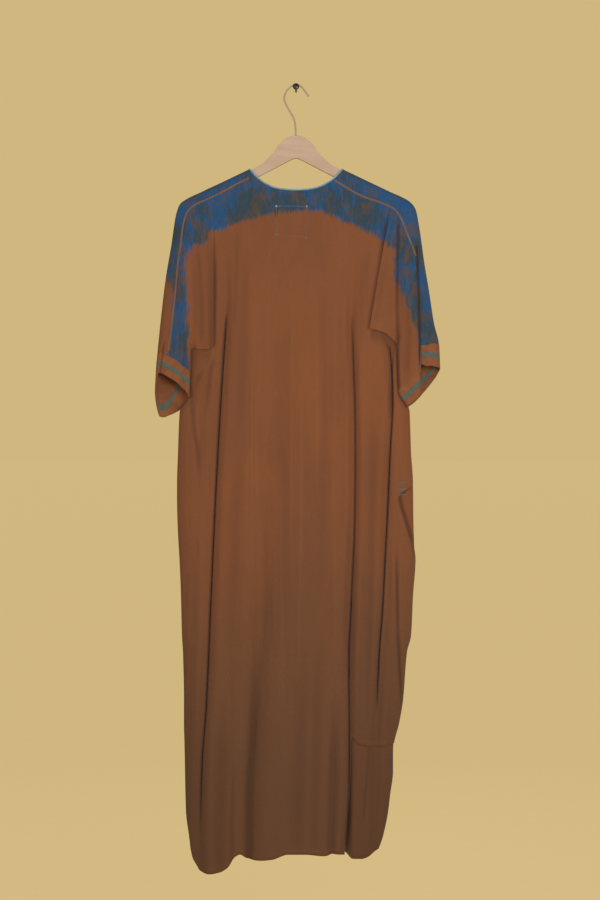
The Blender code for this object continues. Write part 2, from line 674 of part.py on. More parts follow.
def build_hanger():
    half = hanger_outline()
    left = [(-x, drop) for x, drop in reversed(half[1:-1])]
    outline = half + left
    count = len(outline)
    vertices = []
    for y in (-HANGER_THICKNESS / 2, HANGER_THICKNESS / 2):
        vertices += [(x, HANG_PLANE + y, -drop) for x, drop in outline]
    faces = [tuple(range(count)), tuple(range(2 * count - 1, count - 1, -1))]
    for k in range(count):
        n = (k + 1) % count
        faces.append((k, n, count + n, count + k))
    hanger = add_object("hanger", vertices, faces, "wood")
    rounding = hanger.modifiers.new("rounding", "BEVEL")
    rounding.width = HANGER_ROUNDING * MM
    rounding.segments = 2
    rounding.limit_method = "ANGLE"
    rounding.angle_limit = math.radians(60.0)
    rounding.use_clamp_overlap = True


HOOK_ROUTE = (
    (25.2, 19.0), (17.5, 8.0), (9.5, -1.0), (0.5, -4.4), (-9.0, -1.0), (-17.0, 6.5), (-22.4, 16.0),
    (-23.2, 27.0), (-18.0, 39.5), (-9.0, 55.0), (-3.2, 67.0), (-1.2, 80.0), (-0.4, 97.2),
)


def smooth_route(points, per_span):
    """Points on a smooth curve through the route's own points."""
    points = np.array(points, float)
    before = np.vstack((2 * points[0] - points[1], points[:-1]))
    after = np.vstack((points[1:], 2 * points[-1] - points[-2]))
    tangents = (after - before) / 2
    route = []
    for k in range(len(points) - 1):
        for step in range(per_span):
            t = step / per_span
            route.append(
                points[k] * (1 - 3 * t * t + 2 * t ** 3) + tangents[k] * (t - 2 * t * t + t ** 3)
                + points[k + 1] * (3 * t * t - 2 * t ** 3) + tangents[k + 1] * (t ** 3 - t * t)
            )
    route.append(points[-1])
    return np.array(route)


def build_hook():
    """Bent wire from the hanger's crown, up and over the nail."""
    route = smooth_route(HOOK_ROUTE, 2)
    centres = np.array([(x, HANG_PLANE, -drop) for x, drop in route])
    tangents = np.gradient(centres, axis=0)
    sideways = np.array([0.0, 1.0, 0.0])
    frames = []
    for centre, tangent in zip(centres, tangents):
        tangent = tangent / np.linalg.norm(tangent)
        frames.append((centre, np.cross(sideways, tangent), sideways))
    sides = 8
    profile = [
        (WIRE_RADIUS * math.cos(2 * math.pi * k / sides), WIRE_RADIUS * math.sin(2 * math.pi * k / sides))
        for k in range(sides)
    ]
    sweep("hanger_hook", frames, profile, "steel")


def build_nail():
    """A turned nail: flat end at the wall, shank, and a round head in front of the hook."""
    back = HANG_PLANE - WIRE_RADIUS - HEAD_CLEARANCE
    profile = (
        (0.0, 0.0), (NAIL_RADIUS, 0.0), (NAIL_RADIUS, back), (NAIL_HEAD_RADIUS * 0.9, back),
        (NAIL_HEAD_RADIUS, back - NAIL_HEAD_HEIGHT * 0.25),
        (NAIL_HEAD_RADIUS * 0.84, back - NAIL_HEAD_HEIGHT * 0.66),
        (NAIL_HEAD_RADIUS * 0.5, back - NAIL_HEAD_HEIGHT * 0.94), (0.0, back - NAIL_HEAD_HEIGHT),
    )
    turned("wall_nail", (0.0, 0.0), profile, NAIL_SIDES, "iron")


def main():
    for old in list(bpy.data.objects):
        bpy.data.objects.remove(old, do_unlink=True)
    back = build_back()
    front_left = build_front(-1, "front_left")
    front_right = build_front(1, "front_right")
    depth = build_placket()
    build_buttons(depth)
    build_sleeve("left", LEFT_RINGS, LEFT_SAG)
    build_sleeve("right", RIGHT_RINGS, RIGHT_SAG)
    build_binding(back, front_left, front_right)
    build_hanger()
    build_hook()
    build_nail()


main()
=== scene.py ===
"""The dressed model of a button-down kaftan that hangs on a wooden hanger from a wall nail.

The back faces -Y and the buttoned front faces +Y. Tables are in millimetres, and a drop is a
distance below the nail; MM turns them into the frame's metres.
"""

import math
from collections import namedtuple

import bmesh
import bpy
import numpy as np
from bpy.props import FloatProperty, FloatVectorProperty, PointerProperty
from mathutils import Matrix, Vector
from mathutils.bvhtree import BVHTree


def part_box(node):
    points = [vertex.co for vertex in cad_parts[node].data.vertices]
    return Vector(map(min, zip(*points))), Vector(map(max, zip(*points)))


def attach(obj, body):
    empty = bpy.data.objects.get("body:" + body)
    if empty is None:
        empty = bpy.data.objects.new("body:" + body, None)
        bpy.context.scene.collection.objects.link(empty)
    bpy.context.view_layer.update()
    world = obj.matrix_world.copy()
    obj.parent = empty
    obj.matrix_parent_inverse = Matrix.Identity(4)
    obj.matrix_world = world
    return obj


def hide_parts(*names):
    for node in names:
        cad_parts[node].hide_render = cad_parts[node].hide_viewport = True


bl_info = {
    "name": "Hanging kaftan",
    "version": (1, 0, 0),
    "blender": (4, 5, 0),
    "location": "View3D > Sidebar > Kaftan",
    "description": "Builds the cloth, trims, buttons, hanger and stage of a hanging kaftan",
    "category": "Object",
}

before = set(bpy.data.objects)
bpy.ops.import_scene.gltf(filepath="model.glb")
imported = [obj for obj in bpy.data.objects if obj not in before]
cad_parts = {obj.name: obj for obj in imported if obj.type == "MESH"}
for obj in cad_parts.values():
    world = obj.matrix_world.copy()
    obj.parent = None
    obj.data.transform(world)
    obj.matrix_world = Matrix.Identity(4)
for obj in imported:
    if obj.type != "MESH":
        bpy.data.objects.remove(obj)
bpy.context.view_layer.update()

MM = 0.001
HANG_PLANE = -48.0
SEAM_GAP = 0.3
CREST_RADIUS = 9.0
NECK_HALF = 94.0
NECK_DROP = 166.0
SHOULDER_SLOPE = 0.477
BACK_NECK_DEPTH = 42.5
FRONT_NECK_DEPTH = 96.0
NECK_ROUNDING = 2.8
BODY_DEPTH = 25.0
SIDE_ROUNDING = 44.0
HALF_WIDTH = 240.0
SIDE_FLATTENING = 0.45
ARMPIT_DROP = 520.0
SLIT_DROP = 800.0
SLIT_GAPE = 2.2
STRETCH_START = 1000.0
SHOULDER_REACH = 130.0
LAP = 2.5
PANEL_LAP = 3.4
FRONT_SLEEVE_LAP = 1.0
FRONT_LAP_HALF = 14.0
FRONT_LAP_LIFT = 2.15
BAND_END = 1525.0
SLEEVE_SQUARENESS = 0.62
FLUSH_RISE = 0.15
# Drops down to which each sleeve lies flush with the body, and from which it stands off
FLUSH_ABOVE = {"left": (285.0, 340.0), "right": (235.0, 285.0)}
TUCK_ACROSS = 3.2
TUCK_FORWARD = 10.0
EDGE_RISE = 2.4
GARMENT_DEPTH = 18.0
BUTTON_COUNT = 10
BUTTON_FIRST_DROP = 292.0
BUTTON_SPACING = 100.0
BUTTON_X = 2.0
ARM_REACH = 222.0
ARM_DEPTH = 22.0
# How the body fills out below the shoulder, and the soft ridges beside its folds
FULLNESS_START = 6.0
FULLNESS_END = 330.0
RIDGE_SHARE = 0.3
RIDGE_OFFSET = 2.0
RIDGE_WIDTH = 0.9
# Shares of a panel's width: where the back's neck starts and ends, where a front's neck starts,
# and where the back's hem steps up
BACK_NECK_SHARES = (0.2, 0.79)
FRONT_NECK_SHARE = 0.3
HEM_STEP_SHARE = 0.755
# Drops at which the panels' widths are taken for their hems
LOW_HEM_LEVEL = 1545.0
RAISED_HEM_LEVEL = 1316.0
FRONT_HEM_LEVEL = 1530.0
# Rows of a panel between its shoulder and the first of its levels
YOKE_ROWS = 13
# Metres from the hanging plane from which a surface is looked for
PROBE_REACH = 1.0

Outline = namedtuple("Outline", "drop left right")
Guide = namedtuple("Guide", "drop main_left deep_left soft_right main_right underarm")
FrontGuide = namedtuple("FrontGuide", "drop outer_left inner_left inner_right outer_right")
Fold = namedtuple("Fold", "path width depth top bottom")
Hem = namedtuple("Hem", "x drop")
Ring = namedtuple("Ring", "over_x over_drop near_x near_drop far_x far_drop depth close")
Sag = namedtuple("Sag", "reach near far")
# A crease runs along its path of (drop, x); lift is the cloth that laps over it on one side
Crease = namedtuple("Crease", "path width depth lift lap_side fade_in fade_out")


def table(kind, *rows):
    """A list of named rows."""
    return [kind(*row) for row in rows]


# Side edges that the back and the fronts share down to the slit
SIDE_OUTLINE = table(
    Outline,
    (196, -167, 196), (340, -182, 198), (500, -205, 199), (518, -208.5, 203.4), (534, -211, 205),
    (560, -212.6, 206.4), (604, -214, 208), (624, -217.5, 213), (638, -227, 223), (650, -232.5, 227),
    (732, -236, 230), (796, -238, 234),
)
BACK_OUTLINE = SIDE_OUTLINE + table(
    Outline,
    (822, -238, 209), (870, -237, 221), (913, -235, 234), (946, -233, 239), (1020, -230, 234),
    (1100, -228, 230), (1132, -226, 222), (1228, -224, 214), (1276, -224, 206), (1316, -223, 196),
    (1452, -220, 186), (1500, -214, 176), (1532, -210, 172), (1548, -206, 170), (1574, -198, 170),
)
FRONT_OUTLINE = SIDE_OUTLINE + table(
    Outline,
    (870, -236, 235), (946, -231, 237), (1020, -228, 232), (1100, -226, 228), (1132, -224, 220),
    (1228, -221, 212), (1276, -218, 204), (1324, -212, 194), (1372, -207, 194), (1420, -200, 188),
    (1452, -192, 184), (1500, -178, 174), (1530, -166, 163),
)
BACK_GUIDES = table(
    Guide,
    (200, -136, -60, 72, 112, 176), (330, -138, -62, 86, 111, 180), (446, -140, -66, 92, 110, 184),
    (666, -154, -68, 98, 116, 193), (800, -162, -68, 99, 116, 183), (1010, -170, -69, 101, 110, 177),
    (1228, -181, -82, 86, 104.5, 163), (1374, -190, -90, 77, 104.5, 158), (1532, -194, -96, 72, 96, 156),
)
BACK_GUIDE_SHARES = (0.0, 0.16, 0.37, 0.66, 0.75, 0.9, 1.0)
FRONT_GUIDES = table(
    FrontGuide,
    (200, -140, -70, 64, 150), (520, -146, -74, 70, 152), (900, -160, -84, 82, 166),
    (1540, -160, -96, 84, 132),
)
FRONT_GUIDE_SHARES = (0.0, 0.3, 0.66, 1.0)
BACK_FOLDS = table(
    Fold,
    ("main_left", 10, 7.0, 300, 470), ("deep_left", 16, 8.0, 620, 1080),
    ("soft_right", 12, 5.0, 760, 1080), ("main_right", 8, 8.0, 330, 500), ("underarm", 9, 6.0, 470, 560),
)
FRONT_FOLDS = table(
    Fold,
    ("outer_left", 14, 7.0, 330, 560), ("inner_left", 18, 6.0, 480, 900),
    ("inner_right", 18, 6.0, 560, 1000), ("outer_right", 13, 7.5, 320, 520),
)
BACK_HEM = table(
    Hem,
    (-216, 1500), (-208, 1542), (-200, 1560), (-190, 1570), (-174, 1574), (-152, 1570), (-136, 1560),
    (-122, 1539), (-112, 1534), (-98, 1543), (-80, 1546), (-48, 1544), (-16, 1534), (16, 1534),
    (60, 1537), (74, 1533), (105, 1536), (111, 1302), (124, 1314), (138, 1318), (168, 1320), (200, 1314),
)
FRONT_HEM = table(
    Hem,
    (-200, 1470), (-184, 1502), (-164, 1518), (-140, 1524), (60, 1526), (78, 1530), (96, 1537),
    (112, 1542), (130, 1543), (144, 1539), (156, 1531), (168, 1520),
)
LEFT_RINGS = table(
    Ring,
    (-162, 198.2, -163, 522, -160, 516, 17, 0.0), (-190, 211.9, -176, 527, -176, 522, 19, 0.0),
    (-215, 223.5, -192, 527, -192, 526, 20, 0.0), (-232, 236, -205, 525, -205, 528, 21, 0.5),
    (-239.5, 256, -213, 528, -213, 530, 22, 1.0), (-249.5, 320, -214, 535, -214, 538, 22, 1.0),
    (-260, 382, -214, 542, -214, 548, 22, 1.0), (-271, 472, -214, 552, -214, 568, 21, 1.0),
    (-279, 552, -214, 566, -216, 576, 20, 1.0), (-282, 600, -216, 610, -219, 630, 19, 1.0),
)
RIGHT_RINGS = table(
    Ring,
    (193, 213.0, 146, 486, 188, 508, 17, 0.0), (212, 221.8, 160, 489, 193, 512, 19, 0.0),
    (228, 231.3, 176, 494, 197, 516, 20, 0.0), (239, 246, 192, 506, 201, 519, 21, 0.5),
    (247, 286, 203.5, 519, 203.5, 521, 22, 1.0), (256, 350, 205, 536, 205, 538, 22, 1.0),
    (266, 410, 206, 560, 206, 562, 22, 1.0), (276, 476, 207, 580, 207, 582, 21, 1.0),
    (286, 518, 208, 608, 208, 610, 20, 1.0), (288, 564, 226, 640, 226, 642, 19, 1.0),
)
LEFT_SAG = table(
    Sag,
    (214, 6, 4), (226, -3, 14), (239, -14, 30), (256, -22, 46), (269, -27, 56), (283, -26, 58),
)
RIGHT_SAG = table(
    Sag,
    (208, 2, 0), (228, 2, 3), (246, 5, 8), (249.5, -54, 9), (254, -47, 9), (262, -35, 10), (270, -26, 10),
    (280, -12, 9), (288, -4, 8),
)
CUFF_START = 7.96
CUFF_END = 9.0

# Creases of the back
BACK_CREASES = table(
    Crease,
    (((440, -139), (666, -154), (1010, -171), (1244, -181), (1348, -189), (1540, -194)),
      2.0, 9.0, 2.6, -1, 60, 190),
    (((440, 110), (728, 117), (900, 115), (986, 111), (1072, 107), (1130, 104), (1302, 105), (1416, 104),
      (1524, 96)), 1.8, 8.0, 2.6, -1, 90, 30),
    (((510, 187), (620, 194), (728, 189), (843, 184), (958, 178), (1038, 174), (1130, 167), (1266, 161)),
      1.9, 8.5, 2.2, 1, 30, 100),
    (((516, 197), (560, 190), (672, 186)), 2.6, 4.0, 1.4, -1, 20, 60),
    (((492, 172), (556, 190), (680, 187)), 3.0, 3.6, 1.2, -1, 20, 60),
    (((560, -180), (584, -192), (610, -203)), 5.0, 2.6, 1.6, 1, 30, 30),
    (((596, -212), (688, -206), (730, -198), (800, -196)), 3.0, 3.6, 1.6, -1, 20, 60),
    (((900, 199), (1072, 201.5), (1176, 206), (1238, 211)), 2.4, 5.0, 2.6, -1, 90, 30),
    (((1080, -78), (1215, -86), (1302, -90), (1416, -97), (1560, -98)), 7.0, 5.0, 2.0, -1, 220, 3),
    (((1330, -128), (1450, -130), (1570, -131)), 5.0, 2.6, 0.8, -1, 100, 3),
    (((1200, 80), (1374, 75), (1550, 71)), 5.0, 3.0, 1.0, 1, 150, 3),
    (((536, -158), (580, -170), (670, -177)), 5.0, 2.6, 1.0, 1, 24, 70),
    (((260, -120), (340, -121), (420, -123), (520, -128)), 5.0, 1.6, 0.6, -1, 60, 90),
    (((300, -96), (560, -104), (760, -112)), 9.0, 1.3, 0.0, 1, 110, 160),
    (((330, 60), (700, 64), (1000, 60)), 12.0, 1.4, 0.0, 1, 160, 260),
    (((300, 150), (420, 136), (560, 130)), 9.0, 1.5, 0.0, 1, 80, 120),
    (((420, -10), (800, -14), (1200, -20)), 16.0, 1.2, 0.0, 1, 200, 300),
    (((1100, 20), (1320, 14), (1530, 8)), 14.0, 1.8, 0.0, 1, 200, 20),
    (((1200, -140), (1400, -146), (1570, -150)), 13.0, 2.4, 0.0, 1, 150, 10),
    (((1080, 52), (1300, 44), (1530, 40)), 10.0, 1.6, 0.0, 1, 150, 20),
    (((640, 150), (860, 146), (1120, 140), (1310, 136)), 8.0, 2.0, 0.6, -1, 80, 60),
    (((690, -110), (900, -118), (1180, -130)), 10.0, 1.5, 0.0, 1, 120, 200),
)
FRONT_CREASES = table(
    Crease,
    (((440, -146), (700, -153), (1000, -160), (1500, -160)), 3.4, 4.4, 2.0, -1, 60, 60),
    (((430, 152), (700, 159), (1000, 164), (1500, 134)), 3.4, 4.6, 2.0, 1, 60, 60),
    (((560, -190), (640, -204), (760, -210)), 4.0, 3.0, 1.4, 1, 40, 80),
    (((560, 190), (700, 200), (900, 204)), 4.0, 3.2, 1.6, -1, 40, 120),
    (((300, -110), (520, -116), (760, -124)), 8.0, 1.6, 0.0, 1, 80, 160),
    (((320, 108), (560, 112), (820, 120)), 8.0, 1.7, 0.0, 1, 80, 160),
    (((900, -40), (1200, -44), (1520, -50)), 12.0, 2.0, 0.0, 1, 200, 20),
    (((900, 52), (1200, 46), (1520, 44)), 12.0, 1.8, 0.0, 1, 200, 20),
    (((1050, -120), (1300, -128), (1520, -130)), 12.0, 2.2, 0.0, 1, 150, 10),
)
# Creases of the sleeves, near is the back half and far the front half
LEFT_NEAR_CREASES = table(
    Crease,
    (((500, -262), (548, -270), (604, -277)), 2.2, 3.6, 1.6, -1, 30, 3),
    (((300, -196), (380, -190), (470, -186), (520, -188)), 6.0, 2.2, 0.8, 1, 60, 30),
    (((360, -250), (450, -244), (540, -252)), 7.0, 1.6, 0.6, -1, 60, 20),
    (((330, -206), (430, -203), (515, -204)), 5.0, 1.6, 0.6, -1, 60, 40),
)
LEFT_FAR_CREASES = table(
    Crease,
    (((300, -190), (400, -186), (510, -184)), 6.0, 2.4, 0.8, 1, 60, 30),
    (((360, -236), (480, -238), (600, -244)), 7.0, 2.2, 0.8, -1, 60, 20),
)
RIGHT_NEAR_CREASES = table(
    Crease,
    (((250, 203), (398, 200), (508, 202), (560, 203), (618, 205)), 3.0, 4.6, 2.2, -1, 40, 20),
    (((304, 240), (342, 243.5), (420, 246), (554, 249)), 2.6, 5.0, 3.4, 1, 30, 4),
    (((420, 222), (500, 226), (590, 222)), 6.0, 1.8, 0.0, 1, 50, 30),
    (((300, 214), (380, 212), (470, 214)), 5.0, 1.6, 0.6, 1, 50, 50),
    (((340, 178), (420, 170), (480, 163)), 6.0, 1.2, 0.0, 1, 50, 20),
)
RIGHT_FAR_CREASES = table(
    Crease,
    (((300, 210), (420, 206), (510, 204)), 5.0, 3.0, 1.2, -1, 60, 30),
    (((330, 244), (450, 250), (560, 256)), 6.0, 2.6, 1.0, 1, 60, 10),
)

# Lower edge of the dyed band seen from the back, left cuff to right cuff, as (x, drop)
BACK_BAND = (
    (-420, 585), (-214, 578), (-213, 554), (-214, 510), (-216, 458), (-218, 406), (-223, 362),
    (-218, 340), (-206, 324), (-175, 311), (-172, 291), (-144, 284), (-106, 274), (-72, 260), (-36, 253),
    (0, 251), (52, 253), (87, 267), (122, 282), (156, 296), (170, 306), (182, 318), (196, 330),
    (199, 390), (215, 424), (229, 458), (242, 492), (247, 520), (249, 572), (420, 580),
)
# The same edge on the front; the left sleeve's front is plain below the shoulder
FRONT_BAND = (
    (-420, 396), (-300, 392), (-262, 384), (-240, 352), (-206, 322), (-172, 296), (-130, 292), (-90, 296),
    (-60, 300), (0, 310), (60, 300), (90, 296), (130, 292), (172, 300), (204, 326), (216, 360),
    (219, 406), (216, 458), (214, 510), (214, 572), (420, 580),
)
# Outer edge of the band beside the overarm seam of the left sleeve
LEFT_STRIP = (
    (-420, 366), (-300, 372), (-262, 380), (-254, 396), (-248, 412), (-246, 458), (-250, 496),
    (-256, 540), (-258, 640),
)

LEFT_SEAM = (
    (-94, 184), (-120, 197), (-144, 210), (-175, 225.6), (-206, 241), (-219.6, 258), (-226.4, 286),
    (-230, 320), (-235, 354), (-240, 406), (-245.4, 458), (-254, 530),
)
RIGHT_SEAM = (
    (76, 188), (128.6, 218.6), (194, 244.6), (208, 262), (221.8, 296), (232, 322), (239, 341),
)


def smooth(value, low, high):
    """Ease from 0 at low to 1 at high."""
    share = np.clip((np.asarray(value, float) - low) / (high - low), 0.0, 1.0)
    return share * share * (3.0 - 2.0 * share)


def over(value, start, full, fading, end):
    """Ease from 0 up to 1 and back down to 0."""
    return smooth(value, start, full) * (1.0 - smooth(value, fading, end))


def curve(xs, ys, at):
    """A smooth curve through points, with no overshoot between them."""
    xs = np.asarray(xs, float)
    ys = np.asarray(ys, float)
    slopes = np.diff(ys) / np.diff(xs)
    before, after = slopes[:-1], slopes[1:]
    agree = before * after > 0
    middle = np.where(agree, 2 * before * after / np.where(agree, before + after, 1.0), 0.0)
    tangents = np.concatenate(([slopes[0]], middle, [slopes[-1]]))
    at = np.clip(np.asarray(at, float), xs[0], xs[-1])
    cell = np.clip(np.searchsorted(xs, at, side="right") - 1, 0, len(xs) - 2)
    width = xs[cell + 1] - xs[cell]
    t = (at - xs[cell]) / width
    rise = ys[cell + 1] - ys[cell]
    start, end = tangents[cell] * width, tangents[cell + 1] * width
    return ys[cell] + t * (start + t * (3 * rise - 2 * start - end + t * (start + end - 2 * rise)))


def column(rows, key, value, at):
    """A column of a table as a smooth curve of another one."""
    return curve([getattr(row, key) for row in rows], [getattr(row, value) for row in rows], at)


def crest_drop(x):
    """Drop of the shoulder's crest."""
    return NECK_DROP + SHOULDER_SLOPE * (np.abs(x) - NECK_HALF)


def crease_course(crease, drop):
    """Where a crease runs at each drop, and how fully it shows there between its ends."""
    drops, places = zip(*crease.path)
    top, bottom = drops[0], drops[-1]
    shown = over(drop, top - 1.0, top + crease.fade_in, bottom - crease.fade_out, bottom + 1.0)
    return curve(drops, places, drop), shown


def relief(x, drop, creases):
    """Outward height that a table of creases adds at each point."""
    height = np.zeros(np.broadcast(x, drop).shape)
    for crease in creases:
        line, shown = crease_course(crease, drop)
        offset = (x - line) * -crease.lap_side
        height -= crease.depth * shown * np.exp(-((offset - 0.5 * crease.width) / crease.width) ** 2)
        foot = np.exp(-(offset / (3.5 * crease.width + 4.0)) ** 2)
        height += crease.lift * shown * np.where(offset < 0, foot, 1.0 - smooth(offset, 0.0, crease.width))
    return height


# A crease of this depth or more is as dark as one gets
SHADE_DEPTH = 6.4


def crease_shade(x, drop, creases):
    """How deep in a crease each point lies, from 0 to 1."""
    shade = np.zeros(np.broadcast(x, drop).shape)
    for crease in creases:
        line, shown = crease_course(crease, drop)
        offset = ((x - line) * -crease.lap_side - 0.5 * crease.width) / (crease.width + 0.4)
        shade = np.maximum(shade, min(crease.depth / SHADE_DEPTH, 1.0) * shown * np.exp(-offset ** 2))
    return shade


def half_depth(x, drop, guides, folds, creases, out=0.0, outline=None):
    """Distance of the body's cloth from the hanging plane."""
    below = drop - crest_drop(x)
    near_crest = np.clip(CREST_RADIUS - below, 0.0, CREST_RADIUS + out)
    depth = np.sqrt(np.maximum((CREST_RADIUS + out) ** 2 - near_crest ** 2, 0.0))
    across = np.clip(np.abs(x) / HALF_WIDTH, 0.0, 1.0)
    fullness = (BODY_DEPTH - CREST_RADIUS) * (1.0 - SIDE_FLATTENING * across ** 2)
    depth = depth + fullness * smooth(below, FULLNESS_START, FULLNESS_END)
    for fold in folds:
        offset = (x - column(guides, "drop", fold.path, drop)) / fold.width
        reach = smooth(drop, fold.top, fold.bottom)
        depth = depth - fold.depth * reach * np.exp(-offset ** 2)
        beside = (np.abs(offset) - RIDGE_OFFSET) / RIDGE_WIDTH
        depth = depth + RIDGE_SHARE * fold.depth * reach * np.exp(-beside ** 2)
    left = column(FRONT_OUTLINE, "drop", "left", drop)
    right = column(FRONT_OUTLINE, "drop", "right", drop)
    if outline is not None:
        left = np.minimum(left, column(outline, "drop", "left", drop))
        right = np.maximum(right, column(outline, "drop", "right", drop))
    inset = np.clip(np.minimum(x - left, right - x) / SIDE_ROUNDING, 0.0, 1.0)
    depth = depth + relief(x, drop, creases) * smooth(inset, 0.0, 0.25)
    rounding = np.sqrt(1.0 - (1.0 - inset) ** 2)
    closed = smooth(drop, ARMPIT_DROP - 70.0, ARMPIT_DROP + 40.0)
    gape = SLIT_GAPE * smooth(drop, SLIT_DROP, SLIT_DROP + 90.0)
    return np.maximum(depth * (1.0 - closed + closed * rounding), SEAM_GAP / 2 + gape)


def back_depth(x, drop, out=0.0):
    return half_depth(x, drop, BACK_GUIDES, BACK_FOLDS, BACK_CREASES, out, BACK_OUTLINE)


def front_depth(x, drop, out=0.0):
    return half_depth(x, drop, FRONT_GUIDES, FRONT_FOLDS, FRONT_CREASES, out)


def behind_back(x, drop):
    """How fully the front lies just behind the back, at the slit and below the raised hem, and how far."""
    at_slit = smooth(x, 192.0, 207.0) * over(drop, 770.0, 812.0, 1010.0, 1120.0)
    below_hem = smooth(x, 98.0, 113.0) * smooth(drop, 1180.0, 1290.0)
    return np.maximum(at_slit, below_hem), 1.45 + 3.6 * over(drop, 822.0, 860.0, 1000.0, 1200.0)


def upper_front_depth(x, drop):
    """Distance of the lapping front, which lies close behind the back at the slit."""
    fades = smooth(x, FRONT_LAP_HALF + 24.0, FRONT_LAP_HALF + 54.0)
    depth = front_depth(x, drop) + FRONT_LAP_LIFT * (1.0 - fades)
    close, distance = behind_back(x, drop)
    return depth * (1.0 - close) + (distance - back_depth(x, drop)) * close


def between(share, shares, stations):
    """Where a share of a panel's width lies among the panel's stations."""
    stations = np.array([np.broadcast_to(s, share.shape) for s in stations])
    cell = np.clip(np.searchsorted(shares, share, side="right") - 1, 0, len(shares) - 2)
    shares = np.array(shares)
    t = (share - shares[cell]) / (shares[cell + 1] - shares[cell])
    low = np.take_along_axis(stations, cell[None], 0)[0]
    high = np.take_along_axis(stations, cell[None] + 1, 0)[0]
    return low + (high - low) * t


def back_place(share, drop):
    """Where a share of the back's width lies at each drop."""
    stations = [column(BACK_OUTLINE, "drop", "left", drop)]
    stations += [column(BACK_GUIDES, "drop", name, drop) for name in Guide._fields[1:]]
    stations.append(column(BACK_OUTLINE, "drop", "right", drop))
    return between(share, BACK_GUIDE_SHARES, stations)


def front_place(side):
    """Where a share of one front's width lies, from its side edge to its centre edge."""
    edge = "left" if side < 0 else "right"

    def place(share, drop):
        stations = [column(FRONT_OUTLINE, "drop", edge, drop)]
        stations += [column(FRONT_GUIDES, "drop", f"{part}_{edge}", drop) for part in ("outer", "inner")]
        stations.append(np.full_like(drop, -side * FRONT_LAP_HALF))
        return between(share, FRONT_GUIDE_SHARES, stations)

    return place


def neck_point(turn, depth):
    """Neck edge at a turn from the left shoulder, for a neck of a depth."""
    across = -np.cos(turn)
    return NECK_HALF * across, NECK_DROP + depth * (1.0 - np.abs(across) ** NECK_ROUNDING)


# Turn round the neck at which a front ends, just past the centre
LAST_NECK_TURN = math.acos(-FRONT_LAP_HALF / NECK_HALF)


def back_top(share):
    """Top edge of the back: shoulder, neck, shoulder."""
    low, high = BACK_NECK_SHARES
    start, end = BACK_OUTLINE[0].left, BACK_OUTLINE[0].right
    turn = math.pi * np.clip((share - low) / (high - low), 0.0, 1.0)
    neck_x, neck_drop = neck_point(turn, BACK_NECK_DEPTH)
    left_x = start + (-NECK_HALF - start) * share / low
    right_x = NECK_HALF + (end - NECK_HALF) * (share - high) / (1.0 - high)
    x = np.where(share < low, left_x, np.where(share > high, right_x, neck_x))
    drop = np.where((share < low) | (share > high), crest_drop(x), neck_drop)
    return x, drop


def front_top(side):
    """Top edge of one front: shoulder, then the neck down to the centre edge."""
    def top(share):
        start = FRONT_OUTLINE[0].left if side < 0 else FRONT_OUTLINE[0].right
        low = FRONT_NECK_SHARE
        turn = LAST_NECK_TURN * np.clip((share - low) / (1.0 - low), 0.0, 1.0)
        neck_x, neck_drop = neck_point(turn, FRONT_NECK_DEPTH)
        crest_x = start + (side * NECK_HALF - start) * share / low
        x = np.where(share <= low, crest_x, -side * neck_x)
        return x, np.where(share <= low, crest_drop(x), neck_drop)

    return top


def back_hem(share):
    """Drop of the back's hem: low on the left, raised on the right."""
    level = np.where(share < HEM_STEP_SHARE, LOW_HEM_LEVEL, RAISED_HEM_LEVEL)
    return column(BACK_HEM, "x", "drop", back_place(share, level))


def front_hem(side):
    """Drop of one front's hem."""
    place = front_place(side)
    return lambda share: column(FRONT_HEM, "x", "drop", place(share, np.full_like(share, FRONT_HEM_LEVEL)))


# Millimetres below a panel's top edge at which its first rows lie
CREST_OFFSETS = np.array([0.0, 0.5, 1.3, 2.6, 4.5, 7.0, 9.5, 13.0, 17.0, 22.0])


def panel_grid(shares, levels, top, place, hem, depth, side):
    """Points of a body panel in millimetres, a row for each level and a column for each share."""
    top_x, top_drop = top(shares)
    hem_drop = hem(shares)
    upper = [top_drop + offset for offset in CREST_OFFSETS]
    first = upper[-1]
    for k in range(1, YOKE_ROWS):
        upper.append(first + (levels[0] - first) * k / YOKE_ROWS)
    stretch = (hem_drop - STRETCH_START) / (levels[-1] - STRETCH_START)
    lower = [level + max(level - STRETCH_START, 0.0) * (stretch - 1.0) for level in levels]
    drop = np.array(upper + lower)
    free = smooth(drop, top_drop, top_drop + SHOULDER_REACH)
    share = np.broadcast_to(shares, drop.shape)
    x = top_x + (place(share, drop) - top_x) * free
    return np.stack((x, HANG_PLANE + side * depth(x, drop), -drop), axis=-1)


def spaced(knots, gaps):
    """Shares between knots, split into the number of gaps given for each stretch."""
    parts = [np.linspace(a, b, n, endpoint=False) for a, b, n in zip(knots[:-1], knots[1:], gaps)]
    return np.concatenate(parts + [[knots[-1]]])


